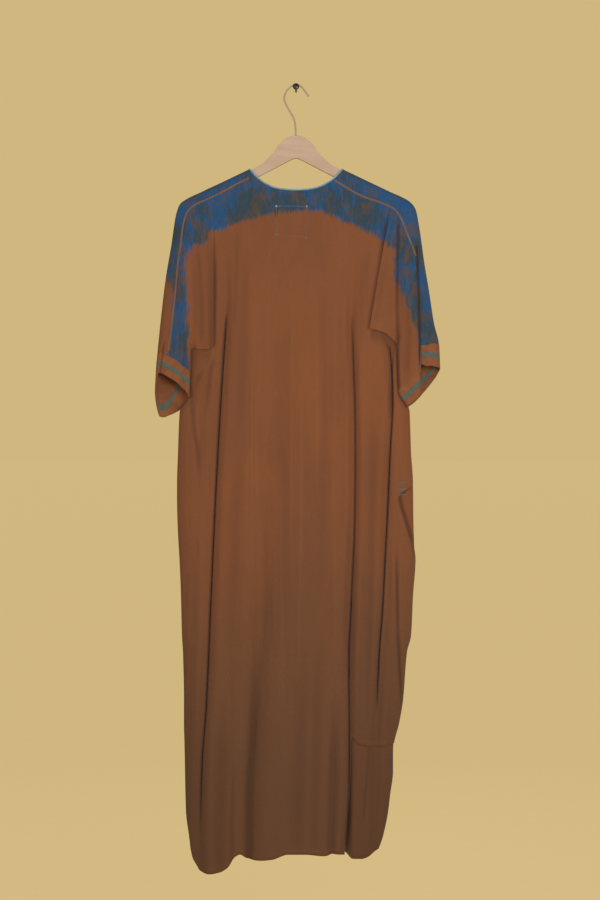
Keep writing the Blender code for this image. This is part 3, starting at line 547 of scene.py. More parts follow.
def sleeve_grid(rings, sag, steps, turns, creases_near, creases_far):
    """Points of a sleeve: turn -1 at the near underarm, 0 on the overarm, 1 at the far one."""
    t, turn = np.meshgrid(steps, turns, indexing="ij")
    values = {}
    for name in Ring._fields:
        values[name] = curve(range(len(rings)), [getattr(ring, name) for ring in rings], t)
    side = np.where(turn < 0, -1.0, 1.0)

    def halves(near, far):
        return np.where(side < 0, near, far)

    angle = math.pi * np.abs(turn)
    share = (1.0 - np.cos(angle)) / 2
    height = np.sin(angle)
    facing = 0.5 + 0.5 * side * np.minimum(1.0, height * 1.6)
    close = values["close"]
    mixed = np.where(close < 1.0, 0.5 + 0.5 * side, facing)
    lean = np.where(np.abs(turn) > 0.5, mixed, facing)
    under_x = values["near_x"] + (values["far_x"] - values["near_x"]) * lean
    under_drop = values["near_drop"] + (values["far_drop"] - values["near_drop"]) * lean
    x = values["over_x"] + (under_x - values["over_x"]) * share
    drop = values["over_drop"] + (under_drop - values["over_drop"]) * share
    cuff = smooth(t, len(rings) - 4.0, len(rings) - 1.0)
    near_sag = column(sag, "reach", "near", np.abs(x))
    far_sag = column(sag, "reach", "far", np.abs(x))
    drop = drop + cuff * (near_sag + (far_sag - near_sag) * facing)
    rounded = height ** SLEEVE_SQUARENESS
    profile = np.where(share < 0.5, rounded, (1.0 - close) + close * rounded)
    y = np.maximum(values["depth"] * profile, SEAM_GAP / 2)
    ripples = halves(relief(x, drop, creases_near), relief(x, drop, creases_far))
    ripples = ripples * smooth(height, 0.05, 0.45)
    y = np.maximum(y + ripples, SEAM_GAP / 2)
    sign = -1.0 if rings[0].over_x < 0 else 1.0
    edge_name = "left" if sign < 0 else "right"
    # Where the sleeve laps over the body it stands off the body's cloth
    edge = np.abs(halves(*(column(rows, "drop", edge_name, drop) for rows in (BACK_OUTLINE, FRONT_OUTLINE))))
    over_body = smooth(edge + 14.0 - np.abs(x), 0.0, 12.0) * (1.0 - smooth(drop, 530.0, 545.0))
    over_body = over_body * (close < 1.0)
    out = LAP + (PANEL_LAP - LAP) * smooth(drop - crest_drop(x), 8.0, 70.0)
    lap = halves(back_depth(x, drop, out), front_depth(x, drop, out) + FRONT_SLEEVE_LAP)
    start = np.where(t > 0, y, 0.0)
    y = y + (np.maximum(start, lap + np.maximum(ripples, -1.6)) - y) * over_body
    # Its start and its overarm lie flush with the body beside the shoulder
    low, high = FLUSH_ABOVE[edge_name]
    along = np.maximum(1.0 - smooth(t, 0.0, 0.9), 1.0 - smooth(share, 0.04, 0.3))
    flush = along * (1.0 - smooth(drop, low, high)) * over_body
    flat = halves(back_depth(x, drop, FLUSH_RISE), front_depth(x, drop, FLUSH_RISE))
    y = y + (flat - y) * flush
    if sign < 0:
        raised = smooth(drop, high, high + 60.0)
        y = y + EDGE_RISE * (1.0 - smooth(t, 0.0, 0.8)) * over_body * raised * (side < 0)
    # Below the armpit the underarm tucks in behind the body's edge
    tuck = smooth(share, 0.78, 1.0) * smooth(drop, 500.0, 524.0) * smooth(t, 3.0, 4.0)
    x = x - sign * TUCK_ACROSS * tuck
    return np.stack((x, HANG_PLANE + side * y - TUCK_FORWARD * tuck, -drop), axis=-1)


def arc_lengths(grid, axis):
    """Lengths along the grid's rows or columns, for the cloth's own pattern."""
    steps = np.linalg.norm(np.diff(grid, axis=axis), axis=2)
    pad = [(0, 0), (0, 0)]
    pad[axis] = (1, 0)
    return np.cumsum(np.pad(steps, pad), axis=axis)


def band_distance(x, drop, line):
    """Distance in millimetres to an edge line, positive above it and outside it."""
    best = np.full(x.shape, 1e9)
    sign = np.ones(x.shape)
    for (ax, ad), (bx, bd) in zip(line[:-1], line[1:]):
        dx, dd = bx - ax, bd - ad
        t = np.clip(((x - ax) * dx + (drop - ad) * dd) / (dx * dx + dd * dd), 0.0, 1.0)
        away_x, away_d = x - ax - t * dx, drop - ad - t * dd
        distance = np.hypot(away_x, away_d)
        cross = dx * (drop - ad) - dd * (x - ax)
        closer = distance < best - 1e-9
        best = np.where(closer, distance, best)
        sign = np.where(closer, np.where(cross < 0, 1.0, -1.0), sign)
    return best * sign


def band_value(grid):
    """How far inside the dyed band each point lies, from its side of the garment."""
    x, drop = grid[..., 0], -grid[..., 2]
    back = band_distance(x, drop, BACK_BAND)
    front = band_distance(x, drop, FRONT_BAND)
    strip = band_distance(x, drop, LEFT_STRIP)
    back = np.where(x < -200.0, np.minimum(back, strip), back)
    return np.where(grid[..., 1] < HANG_PLANE, back, front)


# Painted shade lines in the back: beside the free edges of both sleeves' laps, and in the fold at the slit
PAINTED_SHADE_LINES = table(
    Crease,
    (((330, -162.5), (440, -163.5), (524, -165)), 3.0, 5.2, 0.0, -1, 50, 8),
    (((262, 182), (300, 177), (368, 166), (424, 156), (474, 148), (490, 146.5)), 3.2, 5.6, 0.0, 1, 30, 6),
    (((1060, 201), (1176, 206), (1238, 211), (1262, 214)), 3.2, 6.0, 0.0, -1, 80, 10),
)
# Foot of each sleeve's lap as (x, drop), where its shade starts and ends, and how dark it is
LAP_FEET = (
    (((146, 485), (174, 492), (188, 504), (200, 517)), 146.0, 203.0, 1.0),
    (((-208, 524), (-172, 528), (-165, 529)), -207.0, -168.0, 0.55),
)


def lap_shade(x, drop):
    """How deep in the shadow of a sleeve's lap each point of the back lies."""
    shade = crease_shade(x, drop, PAINTED_SHADE_LINES)
    for foot, near, far, dark in LAP_FEET:
        below = drop - np.interp(x, *zip(*foot))
        line = dark * np.exp(-(((below - 2.0) / 3.2) ** 2))
        hollow = 0.55 * dark * over(below, 0.0, 4.0, 8.0, 34.0)
        shade = np.maximum(shade, np.maximum(line, hollow) * over(x, near, near + 5.0, far - 5.0, far))
    return shade


def low_side_shade(x, drop):
    """Painted shade on the sides of the body toward the hem."""
    beside = np.maximum(smooth(-x, 160.0, 196.0), smooth(x, 96.0, 118.0))
    return 0.3 * beside * smooth(drop, 1040.0, 1420.0)


def slit_window(drop):
    """How fully the edges of the side slit show at each drop."""
    return over(drop, 798.0, 812.0, 900.0, 950.0)


def back_values(grid):
    """Band value and painted shade of the back: in its creases, along the edge of its slit, beside the
    sleeves' laps and on its low sides.
    """
    x, drop = grid[..., 0], -grid[..., 2]
    edge = column(BACK_OUTLINE, "drop", "right", drop)
    # Painted shadow along the slit's edge, where the back lies over the front
    slit = smooth(x, edge - 8.0, edge - 3.0) * slit_window(drop)
    shades = (crease_shade(x, drop, BACK_CREASES), slit, lap_shade(x, drop), low_side_shade(x, drop))
    return {"band": band_value(grid), "fold": np.maximum.reduce(shades)}


def front_values(grid):
    """Band value and painted shade of a front: in its creases, on its low sides, and its painted shadow
    behind the back's slit.
    """
    x, drop = grid[..., 0], -grid[..., 2]
    edge = column(BACK_OUTLINE, "drop", "right", drop)
    # Painted shadow on the front where it shows behind the back's slit
    behind = 0.9 * over(x, edge - 6.0, edge - 1.0, edge + 0.5, edge + 5.0) * slit_window(drop)
    shades = (crease_shade(x, drop, FRONT_CREASES), low_side_shade(x, drop), behind)
    return {"band": band_value(grid), "fold": np.maximum.reduce(shades)}


def sleeve_values(grid, creases_near, creases_far):
    """Band value and painted crease shade of a sleeve; the left one has painted shade beside its back edge.
    """
    x, drop = grid[..., 0], -grid[..., 2]
    t, turn = np.meshgrid(SLEEVE_STEPS, SLEEVE_TURNS, indexing="ij")
    fold = np.where(turn < 0, crease_shade(x, drop, creases_near), crease_shade(x, drop, creases_far))
    band = band_value(grid)
    if x[0, 0] > 0:
        # The strip outside the overarm fold lies deep inside the band
        band = band + 26.0 * smooth(x, 243.0, 250.0) * (turn < 0)
    else:
        # Painted shade on the back half of the left sleeve beside its edge over the body
        behind = 0.42 * (1.0 - smooth(t, 0.1, 1.3)) + 0.5 * (1.0 - smooth(t, 0.06, 0.16))
        fold = np.maximum(fold, behind * smooth(drop, 280.0, 350.0) * (turn < 0))
    return {"band": band, "fold": fold}


def new_object(name, data):
    """A new object at the origin, linked to the scene."""
    made = bpy.data.objects.new(name, data)
    bpy.context.scene.collection.objects.link(made)
    return made


def sheet_object(name, grid, outward, values):
    """An open sheet of quads from a grid in millimetres, with its own UV map and values."""
    rows, columns = grid.shape[:2]
    corner = (np.arange(rows - 1)[:, None] * columns + np.arange(columns - 1)[None]).ravel()
    quads = np.stack((corner, corner + 1, corner + columns + 1, corner + columns), axis=1)
    points = grid.reshape(-1, 3)
    ahead = points[quads[:, 1]] - points[quads[:, 0]]
    down = points[quads[:, 3]] - points[quads[:, 0]]
    facing = np.cross(ahead, down)
    if np.sum(facing * outward(points[quads[:, 0]])) < 0:
        quads = quads[:, ::-1]
    mesh = bpy.data.meshes.new(name)
    mesh.vertices.add(len(points))
    mesh.vertices.foreach_set("co", (points * MM).astype(np.float32).ravel())
    mesh.loops.add(quads.size)
    mesh.loops.foreach_set("vertex_index", quads.astype(np.int32).ravel())
    mesh.polygons.add(len(quads))
    mesh.polygons.foreach_set("loop_start", np.arange(0, quads.size, 4, dtype=np.int32))
    mesh.polygons.foreach_set("use_smooth", np.ones(len(quads), bool))
    mesh.update(calc_edges=True)
    mesh.validate()
    u = arc_lengths(grid, 1).ravel() * MM
    v = arc_lengths(grid, 0).ravel() * MM
    layer = mesh.uv_layers.new(name="cloth")
    pairs = np.stack((u, v), axis=1)[quads.ravel()]
    layer.data.foreach_set("uv", pairs.astype(np.float32).ravel())
    for key, value in values.items():
        attribute = mesh.attributes.new(key, "FLOAT", "POINT")
        attribute.data.foreach_set("value", np.asarray(value, np.float32).ravel())
    return new_object(name, mesh)


def away_from_plane(points):
    facing = np.zeros_like(points)
    facing[:, 1] = np.sign(points[:, 1] - HANG_PLANE)
    return facing


def select_only(made):
    bpy.ops.object.select_all(action="DESELECT")
    made.select_set(True)
    bpy.context.view_layer.objects.active = made


def apply_modifiers(made):
    select_only(made)
    for modifier in list(made.modifiers):
        bpy.ops.object.modifier_apply(modifier=modifier.name)
    made.select_set(False)


def start_piece(name):
    """The primitive just added, named, settled at the origin and opened for shaping."""
    made = bpy.context.view_layer.objects.active
    made.name = name
    made.data.name = name
    select_only(made)
    bpy.ops.object.transform_apply(location=True, rotation=True, scale=True)
    bpy.ops.object.mode_set(mode="EDIT")
    return made


def pick(made, kind, test):
    """Select only the faces or edges whose middle passes a test."""
    bpy.ops.mesh.select_mode(type=kind)
    bpy.ops.mesh.select_all(action="DESELECT")
    work = bmesh.from_edit_mesh(made.data)
    for part in work.faces if kind == "FACE" else work.edges:
        corners = [corner.co for corner in part.verts]
        if test(sum(corners, Vector()) / len(corners), part):
            part.select_set(True)
    bmesh.update_edit_mesh(made.data)


def draw_out(step, spread, centre):
    """Extrude what is selected by a step, then scale it about a centre."""
    bpy.ops.mesh.extrude_region_move(TRANSFORM_OT_translate={"value": tuple(step)})
    bpy.ops.transform.resize(value=tuple(spread), center_override=tuple(centre))


def end_shaping(made, angle):
    """Close edit mode with faces outward, apply the modifiers and smooth up to an angle."""
    bpy.ops.mesh.select_all(action="SELECT")
    bpy.ops.mesh.remove_doubles(threshold=0.00001)
    bpy.ops.mesh.normals_make_consistent(inside=False)
    bpy.ops.object.mode_set(mode="OBJECT")
    apply_modifiers(made)
    select_only(made)
    bpy.ops.object.shade_smooth_by_angle(angle=math.radians(angle))
    made.select_set(False)


def round_edges(made, width, segments, angle):
    rounding = made.modifiers.new("rounding", "BEVEL")
    rounding.width = width
    rounding.segments = segments
    rounding.limit_method = "ANGLE"
    rounding.angle_limit = math.radians(angle)


def thicken(made, thickness):
    wall = made.modifiers.new("wall", "SOLIDIFY")
    wall.thickness = thickness
    wall.offset = 0.0
    wall.use_even_offset = False
    apply_modifiers(made)


def mesh_area(made):
    return sum(face.area for face in made.data.polygons)


def finish_piece(made, paint, slot, *nodes):
    """Material, body and the solids that a piece stands for; the slot is not used."""
    made.data.materials.clear()
    made.data.materials.append(paint)
    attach(made, "root")
    if nodes:
        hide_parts(*nodes)
    return made


def hit_surface(trees, x, drop, side):
    """Nearest surface point and normal under a place, looked for from the given side."""
    start = Vector((x * MM, side * PROBE_REACH + HANG_PLANE * MM, -drop * MM))
    best = None
    for tree in trees:
        place, normal, _, distance = tree.ray_cast(start, Vector((0.0, -side, 0.0)))
        if place is not None and (best is None or distance < best[2]):
            best = (place, normal, distance)
    return best


def tree_of(name):
    return BVHTree.FromObject(bpy.data.objects[name], bpy.context.evaluated_depsgraph_get())


def even_path(points, step):
    """Places at even distances along a smooth line through points of (x, drop)."""
    points = np.array(points, float)
    run = np.concatenate(([0.0], np.cumsum(np.hypot(*np.diff(points, axis=0).T))))
    fine = np.linspace(0.0, run[-1], max(int(run[-1] / 1.0), 8))
    xs = curve(run, points[:, 0], fine)
    drops = curve(run, points[:, 1], fine)
    total = np.concatenate(([0.0], np.cumsum(np.hypot(np.diff(xs), np.diff(drops)))))
    stops = np.linspace(0.0, total[-1], max(int(total[-1] / step), 2))
    return np.stack((np.interp(stops, total, xs), np.interp(stops, total, drops)), axis=1)


def on_cloth(trees, places, side):
    """Points and normals in metres where places meet the cloth; places off the cloth are skipped."""
    points, normals = [], []
    for x, drop in places:
        found = hit_surface(trees, x, drop, side)
        if found is not None:
            points.append(np.array(found[0]))
            normals.append(np.array(found[1]) * (1.0 if found[1][1] * side > 0 else -1.0))
    return np.array(points), np.array(normals)


def run_along(points):
    """Length of a path up to each of its points."""
    return np.concatenate(([0.0], np.cumsum(np.linalg.norm(np.diff(points, axis=0), axis=1))))


def unit(vectors):
    return vectors / np.linalg.norm(vectors, axis=1, keepdims=True)


# Points and faces of the shaped stitch, kept once it is made
STITCH_SHAPE = []


def shaped_stitch():
    """One thread stitch of unit size: a pinched bead cut flat where it lies on the cloth."""
    bpy.ops.object.select_all(action="DESELECT")
    bpy.ops.mesh.primitive_uv_sphere_add(
        segments=6, ring_count=5, radius=0.5, rotation=(0.0, math.pi / 2, 0.0)
    )
    made = start_piece("stitch pattern")
    pick(made, "EDGE", lambda middle, edge: abs(middle.x) < 0.2)
    bpy.ops.transform.resize(value=(1.6, 1.05, 1.05), center_override=(0.0, 0.0, 0.0))
    bpy.ops.mesh.select_all(action="SELECT")
    bpy.ops.mesh.bisect(
        plane_co=(0.0, 0.0, -0.3), plane_no=(0.0, 0.0, 1.0), clear_inner=True, use_fill=True
    )
    bpy.ops.mesh.select_all(action="SELECT")
    bpy.ops.mesh.normals_make_consistent(inside=False)
    bpy.ops.object.mode_set(mode="OBJECT")
    points = np.array([vertex.co[:] for vertex in made.data.vertices])
    faces = [tuple(face.vertices) for face in made.data.polygons]
    mesh = made.data
    bpy.data.objects.remove(made, do_unlink=True)
    bpy.data.meshes.remove(mesh)
    return points, faces


def stitch_object(name, runs, length, gap, width, height):
    """Rows of copies of the shaped stitch as one piece; each run is (points, normals) in metres."""
    if not STITCH_SHAPE:
        STITCH_SHAPE.extend(shaped_stitch())
    shape, shape_faces = STITCH_SHAPE
    vertices, faces = [], []

    def at(place, total, rows):
        return np.array([np.interp(place, total, rows[:, k]) for k in range(3)])

    for points, normals in runs:
        if len(points) < 2:
            continue
        total = run_along(points)
        place = 0.0
        while place + length < total[-1]:
            start, end = at(place, total, points), at(place + length, total, points)
            normal = at(place + length / 2, total, normals)
            along = end - start
            reach = np.linalg.norm(along)
            # A stitch that would bridge a sharp turn is left out
            if reach > 0.4 * length:
                along = along / reach
                across = np.cross(normal, along)
                across /= np.linalg.norm(across)
                up = np.cross(along, across)
                first = len(vertices)
                turned = shape @ np.stack((along * reach, across * width, up * height))
                vertices.extend((start + end) / 2 + up * height * 0.2 + turned)
                faces.extend(tuple(first + k for k in face) for face in shape_faces)
            place += length + gap
    mesh = bpy.data.meshes.new(name)
    mesh.from_pydata([tuple(v) for v in vertices], [], faces)
    mesh.shade_smooth()
    return new_object(name, mesh)


def swept_object(name, vertices, places, count):
    """A closed strip from rings of count points along a path, each with its place on the cloth."""
    last = len(vertices) - count
    faces = []
    for first in range(0, last, count):
        for k in range(first, first + count):
            n = first + (k + 1 - first) % count
            faces.append((k, n, n + count, k + count))
    faces.append(tuple(range(count - 1, -1, -1)))
    faces.append(tuple(range(last, last + count)))
    mesh = bpy.data.meshes.new(name)
    mesh.from_pydata([tuple(v) for v in vertices], [], faces)
    work = bmesh.new()
    work.from_mesh(mesh)
    bmesh.ops.recalc_face_normals(work, faces=work.faces[:])
    work.to_mesh(mesh)
    work.free()
    mesh.shade_smooth()
    layer = mesh.uv_layers.new(name="cloth")
    for loop in mesh.loops:
        layer.data[loop.index].uv = places[loop.vertex_index]
    return new_object(name, mesh)


# Sections of the welt and the neck binding as (share of the width, share of the height)
WELT_SECTION = (
    (-0.5, -0.4), (-0.42, 0.45), (-0.2, 0.85), (0.0, 0.55), (0.2, 0.85), (0.42, 0.45), (0.5, -0.4),
)
BINDING_SECTION = (
    (-1.0, -0.3), (-1.15, 0.5), (-0.8, 1.0), (0.0, 1.15), (0.8, 1.0), (1.15, 0.5), (1.0, -0.3),
)


def welt_object(name, points, normals, width, height):
    """A narrow raised seam that follows the cloth."""
    across = unit(np.cross(normals, unit(np.gradient(points, axis=0))))
    vertices, places = [], []
    for k, run in enumerate(run_along(points)):
        for wide, rise in WELT_SECTION:
            vertices.append(points[k] + across[k] * width * wide + normals[k] * height * rise)
            places.append((wide * width, run))
    return swept_object(name, vertices, places, len(WELT_SECTION))


# Shader building


class Paint:
    """A node tree that is written from left to right."""

    def __init__(self, tree):
        self.tree = tree
        self.x = -1800

    def add(self, kind, settings=None, **inputs):
        made = self.tree.nodes.new(kind)
        self.x += 40
        made.location = (self.x, 0)
        for key, value in (settings or {}).items():
            setattr(made, key, value)
        self.set(made, **inputs)
        return made

    def set(self, made, **inputs):
        """Feed inputs by name, with an underscore for a space, or by number as i0, i1 and so on."""
        for key, value in inputs.items():
            socket = made.inputs[int(key[1:]) if key[1:].isdigit() else key.replace("_", " ")]
            if isinstance(value, bpy.types.NodeSocket):
                self.tree.links.new(value, socket)
            else:
                socket.default_value = (*value, 1.0) if socket.type == "RGBA" else value

    def math(self, operation, a, b=0.0, c=0.0):
        return self.add("ShaderNodeMath", {"operation": operation}, i0=a, i1=b, i2=c).outputs[0]

    def times(self, a, b):
        return self.math("MULTIPLY", a, b)

    def plus(self, base, a, b):
        """The base with a times b added."""
        return self.math("MULTIPLY_ADD", a, b, base)

    def sway(self, base, noise, amount):
        """The base moved up and down by noise."""
        return self.plus(base, self.math("SUBTRACT", noise, 0.5), amount)

    def ramp(self, value, low, high):
        """0 below low, 1 above high, eased between."""
        eased = {"interpolation_type": "SMOOTHSTEP"}
        made = self.add("ShaderNodeMapRange", eased, Value=value, From_Min=low, From_Max=high)
        return made.outputs["Result"]

    def mix(self, share, first, second):
        return self.add("ShaderNodeMix", {"data_type": "RGBA"}, i0=share, i6=first, i7=second).outputs[2]

    def stretch(self, vector, scale, turn=(0.0, 0.0, 0.0)):
        return self.add("ShaderNodeMapping", Vector=vector, Scale=scale, Rotation=turn).outputs["Vector"]

    def noise(self, vector, scale, detail=3.0, roughness=0.55, distortion=0.0):
        """Clouded noise; a scale of three numbers stretches it."""
        if isinstance(scale, tuple):
            vector, scale = self.stretch(vector, scale), 1.0
        made = self.add("ShaderNodeTexNoise", Vector=vector, Scale=scale, Detail=detail)
        self.set(made, Roughness=roughness, Distortion=distortion)
        return made.outputs["Fac"]

    def bump(self, height, distance, strength, **under):
        made = self.add("ShaderNodeBump", Strength=strength, Distance=distance, Height=height, **under)
        return made.outputs["Normal"]

    def object_place(self):
        return self.add("ShaderNodeTexCoord").outputs["Object"]

    def cloth_place(self):
        return self.add("ShaderNodeUVMap", {"uv_map": "cloth"}).outputs["UV"]

    def value_of(self, name):
        return self.add("ShaderNodeAttribute", {"attribute_name": name}).outputs["Fac"]

    def effect(self, group, **inputs):
        made = self.tree.nodes.new("ShaderNodeGroup")
        made.node_tree = group
        self.set(made, **inputs)
        return made.outputs


def effect_group(name, inputs, outputs):
    """A shader node group, and the means to paint it only where it isn't there yet."""
    tree = bpy.data.node_groups.get(name)
    if tree:
        return tree, None, None, None
    tree = bpy.data.node_groups.new(name, "ShaderNodeTree")
    for label, default in inputs.items():
        kind = "NodeSocketVector" if default is None else "NodeSocketFloat"
        socket = tree.interface.new_socket(name=label, in_out="INPUT", socket_type=kind)
        if default is not None:
            socket.default_value = default
    for label in outputs:
        tree.interface.new_socket(name=label, in_out="OUTPUT", socket_type="NodeSocketFloat")
    start = tree.nodes.new("NodeGroupInput")
    end = tree.nodes.new("NodeGroupOutput")
    return tree, Paint(tree), start.outputs, end


# Threads a metre of the weave, and how dark the floor's specks are
BODY_THREADS = 900.0
TRIM_THREADS = 1100.0
FLOOR_SPECK = 0.93


def weave_group():
    """Plain weave: Height for the bump and Tone for the threads' uneven colour."""
    inputs = {"Place": None, "Threads": BODY_THREADS}
    tree, paint, given, end = effect_group("plain weave", inputs, ("Height", "Tone"))
    if paint is None:
        return tree
    place = given["Place"]
    split = paint.add("ShaderNodeSeparateXYZ", Vector=place)
    runs = [paint.times(split.outputs[k], given["Threads"]) for k in (0, 1)]
    warp, weft = (paint.math("SINE", paint.times(run, 2 * math.pi)) for run in runs)
    slubs = [paint.noise(place, scale, 2.0) for scale in ((2200.0, 60.0, 1.0), (50.0, 1800.0, 1.0))]
    tone = paint.times(paint.math("ADD", *slubs), 0.5)
    paint.set(end, Height=paint.plus(tone, paint.times(warp, weft), 0.22), Tone=tone)
    return tree


def crumple_group():
    """Soft wear creases that run mostly down the cloth."""
    tree, paint, given, end = effect_group("soft crumple", {"Place": None}, ("Height",))
    if paint is None:
        return tree
    place = given["Place"]
    long_folds = paint.noise(place, (16.0, 16.0, 1.6), 2.0, 0.5, 0.6)
    fine_folds = paint.noise(place, (60.0, 60.0, 9.0), 3.0, 0.55, 0.4)
    cross_folds = paint.noise(place, (12.0, 12.0, 30.0), 3.0, 0.6, 1.2)
    paint.set(end, Height=paint.plus(paint.plus(long_folds, fine_folds, 0.35), cross_folds, 0.22))
    return tree


def dye_group():
    """The brushed dye: Deep inside the band, Mask where dye is kept, Bright for its clear blue streaks."""
    inputs = {"Place": None, "Inside": 0.0}
    tree, paint, given, end = effect_group("brushed dye", inputs, ("Mask", "Bright", "Deep"))
    if paint is None:
        return tree
    place, inside = given["Place"], given["Inside"]
    teeth = paint.noise(place, (330.0, 330.0, 42.0), 3.0, 0.6)
    waves = paint.noise(place, (42.0, 42.0, 26.0), 2.0, 0.5)
    edge = paint.sway(paint.sway(inside, teeth, 26.0), waves, 14.0)
    patches = paint.noise(place, (58.0, 58.0, 40.0), 3.0, 0.6, 0.5)
    threads = paint.noise(place, (900.0, 900.0, 90.0), 3.0, 0.65)
    streaks = paint.noise(place, (300.0, 300.0, 34.0), 3.0, 0.6, 0.3)
    areas = paint.noise(place, (26.0, 26.0, 16.0), 2.0, 0.5)
    # The strip above the overarm seams is the fullest blue
    clear = paint.ramp(inside, 42.0, 68.0)
    kept = paint.ramp(paint.sway(patches, threads, 0.7), 0.33, 0.53)
    kept = paint.math("MAXIMUM", kept, paint.times(clear, 0.5))
    lively = paint.plus(paint.sway(streaks, areas, 0.9), clear, 0.16)
    paint.set(end, Mask=paint.plus(0.14, kept, 0.86), Bright=paint.ramp(lively, 0.42, 0.64))
    paint.set(end, Deep=paint.ramp(edge, -5.0, 6.0))
    return tree


def open_material(name):
    """A material, and the means to paint it only where it isn't there yet."""
    made = bpy.data.materials.get(name)
    if made:
        return made, None, None
    made = bpy.data.materials.new(name)
    made.use_nodes = True
    return made, Paint(made.node_tree), made.node_tree.nodes["Principled BSDF"]


def cloth_shader(paint, shader, sheen, tint, **inputs):
    """Cotton's soft sheen, with what the material itself gives."""
    paint.set(
        shader, Sheen_Weight=sheen, Sheen_Roughness=0.45, Sheen_Tint=tint, Specular_IOR_Level=0.25, **inputs
    )


def rust_base(paint, colours, place, weave):
    """Rust cotton: clouded dye and pale worn threads, with painted shade high up and toward the hem."""
    clouds = paint.noise(place, (9.0, 9.0, 3.5), 4.0, 0.6, 0.4)
    base = paint.mix(paint.ramp(clouds, 0.3, 0.7), colours.rust_dark, colours.rust)
    runs = paint.noise(place, (90.0, 90.0, 1.6), 3.0, 0.6)
    base = paint.mix(paint.times(paint.ramp(runs, 0.5, 0.75), 0.35), base, colours.rust_light)
    height = paint.add("ShaderNodeSeparateXYZ", Vector=place).outputs[2]
    # Painted shade: darker toward the hem
    low = paint.ramp(paint.times(height, -1.0), 0.5, 1.45)
    base = paint.mix(paint.times(low, 0.8), base, colours.rust_low_shade)
    # Painted shade: darker high up on the body
    high = paint.ramp(height, -0.75, -0.38)
    base = paint.mix(paint.times(high, 0.55), base, colours.rust_dark)
    return paint.mix(paint.times(paint.ramp(weave["Tone"], 0.25, 0.75), 0.22), base, colours.rust_light)


def body_material(colours):
    """Rust cotton with the brushed blue band of the yoke and the overarms, with painted shade in its creases,
    beside the laps, along the slit, on its low sides, high up and toward the hem.
    """
    made, paint, shader = open_material("rust cotton with dyed band")
    if paint is None:
        return made
    place = paint.object_place()
    weave = paint.effect(weave_group(), Place=paint.cloth_place(), Threads=BODY_THREADS)
    dye = paint.effect(dye_group(), Place=place, Inside=paint.value_of("band"))
    blue = paint.mix(dye["Bright"], colours.blue_dull, colours.blue)
    dyed = paint.mix(dye["Mask"], colours.band_ground, blue)
    colour = paint.mix(dye["Deep"], rust_base(paint, colours, place, weave), dyed)
    # Painted shade: the fold value darkens the cloth toward a dark rust in its creases, beside the sleeves'
    # laps, along the slit and on its low sides
    colour = paint.mix(paint.times(paint.value_of("fold"), 0.62), colour, colours.rust_crease_shade)
    crumple = paint.effect(crumple_group(), Place=place)
    normal = paint.bump(weave["Height"], 0.0006, 0.5, Normal=paint.bump(crumple["Height"], 0.010, 0.55))
    cloth_shader(
        paint, shader, 0.12, (0.9, 0.75, 0.65), Base_Color=colour, Normal=normal,
        Roughness=paint.plus(0.80, weave["Tone"], 0.12),
    )
    return made


def plain_cloth(name, tint, light):
    """Plain cotton for trims, with its own weave and a slightly uneven dye."""
    made, paint, shader = open_material(name)
    if paint is None:
        return made
    weave = paint.effect(weave_group(), Place=paint.cloth_place(), Threads=TRIM_THREADS)
    clouds = paint.noise(paint.object_place(), 60.0, 4.0, 0.6)
    base = paint.mix(paint.ramp(clouds, 0.3, 0.72), tint, light)
    base = paint.mix(paint.times(paint.ramp(weave["Tone"], 0.3, 0.7), 0.4), base, light)
    normal = paint.bump(weave["Height"], 0.0006, 0.7)
    cloth_shader(paint, shader, 0.15, (0.9, 0.85, 0.8), Roughness=0.85, Base_Color=base, Normal=normal)
    return made


def cuff_material(colours):
    """Rust band with its teal line, laid by the cuff's own across and line values."""
    made, paint, shader = open_material("banded cuff")
    if paint is None:
        return made
    place = paint.object_place()
    weave = paint.effect(weave_group(), Place=paint.cloth_place(), Threads=BODY_THREADS)
    wander = paint.sway(paint.value_of("line"), paint.noise(place, 160.0, 3.0), 0.05)
    past = paint.ramp(wander, 0.62, 0.66)
    line = paint.times(paint.ramp(wander, 0.43, 0.47), paint.math("SUBTRACT", 1.0, past))
    clouds = paint.noise(place, 45.0, 4.0, 0.65)
    base = paint.mix(paint.ramp(clouds, 0.3, 0.7), colours.cuff_dark, colours.cuff)
    threads = paint.noise(place, 420.0, 2.0, 0.6)
    teal = paint.mix(paint.ramp(threads, 0.35, 0.65), colours.teal_dark, colours.teal)
    edge = paint.ramp(paint.value_of("across"), 0.93, 1.0)
    colour = paint.mix(paint.times(line, 0.9), base, teal)
    colour = paint.mix(paint.times(edge, 0.55), colour, colours.rust_dark)
    normal = paint.bump(paint.plus(paint.times(weave["Height"], 0.4), line, 0.8), 0.0012, 0.8)
    cloth_shader(paint, shader, 0.12, (0.9, 0.75, 0.65), Roughness=0.86, Base_Color=colour, Normal=normal)
    return made


def thread_material(name, tint, light):
    """Twisted sewing thread."""
    made, paint, shader = open_material(name)
    if paint is None:
        return made
    place = paint.object_place()
    twist = paint.noise(place, (900.0, 900.0, 900.0), 2.0, 0.6)
    soil = paint.noise(place, 55.0, 3.0, 0.6)
    base = paint.mix(paint.ramp(soil, 0.3, 0.7), tint, light)
    base = paint.mix(paint.times(paint.ramp(twist, 0.4, 0.6), 0.4), base, light)
    normal = paint.bump(twist, 0.0004, 0.6)
    cloth_shader(paint, shader, 0.2, (1.0, 1.0, 1.0), Roughness=0.7, Base_Color=base, Normal=normal)
    return made


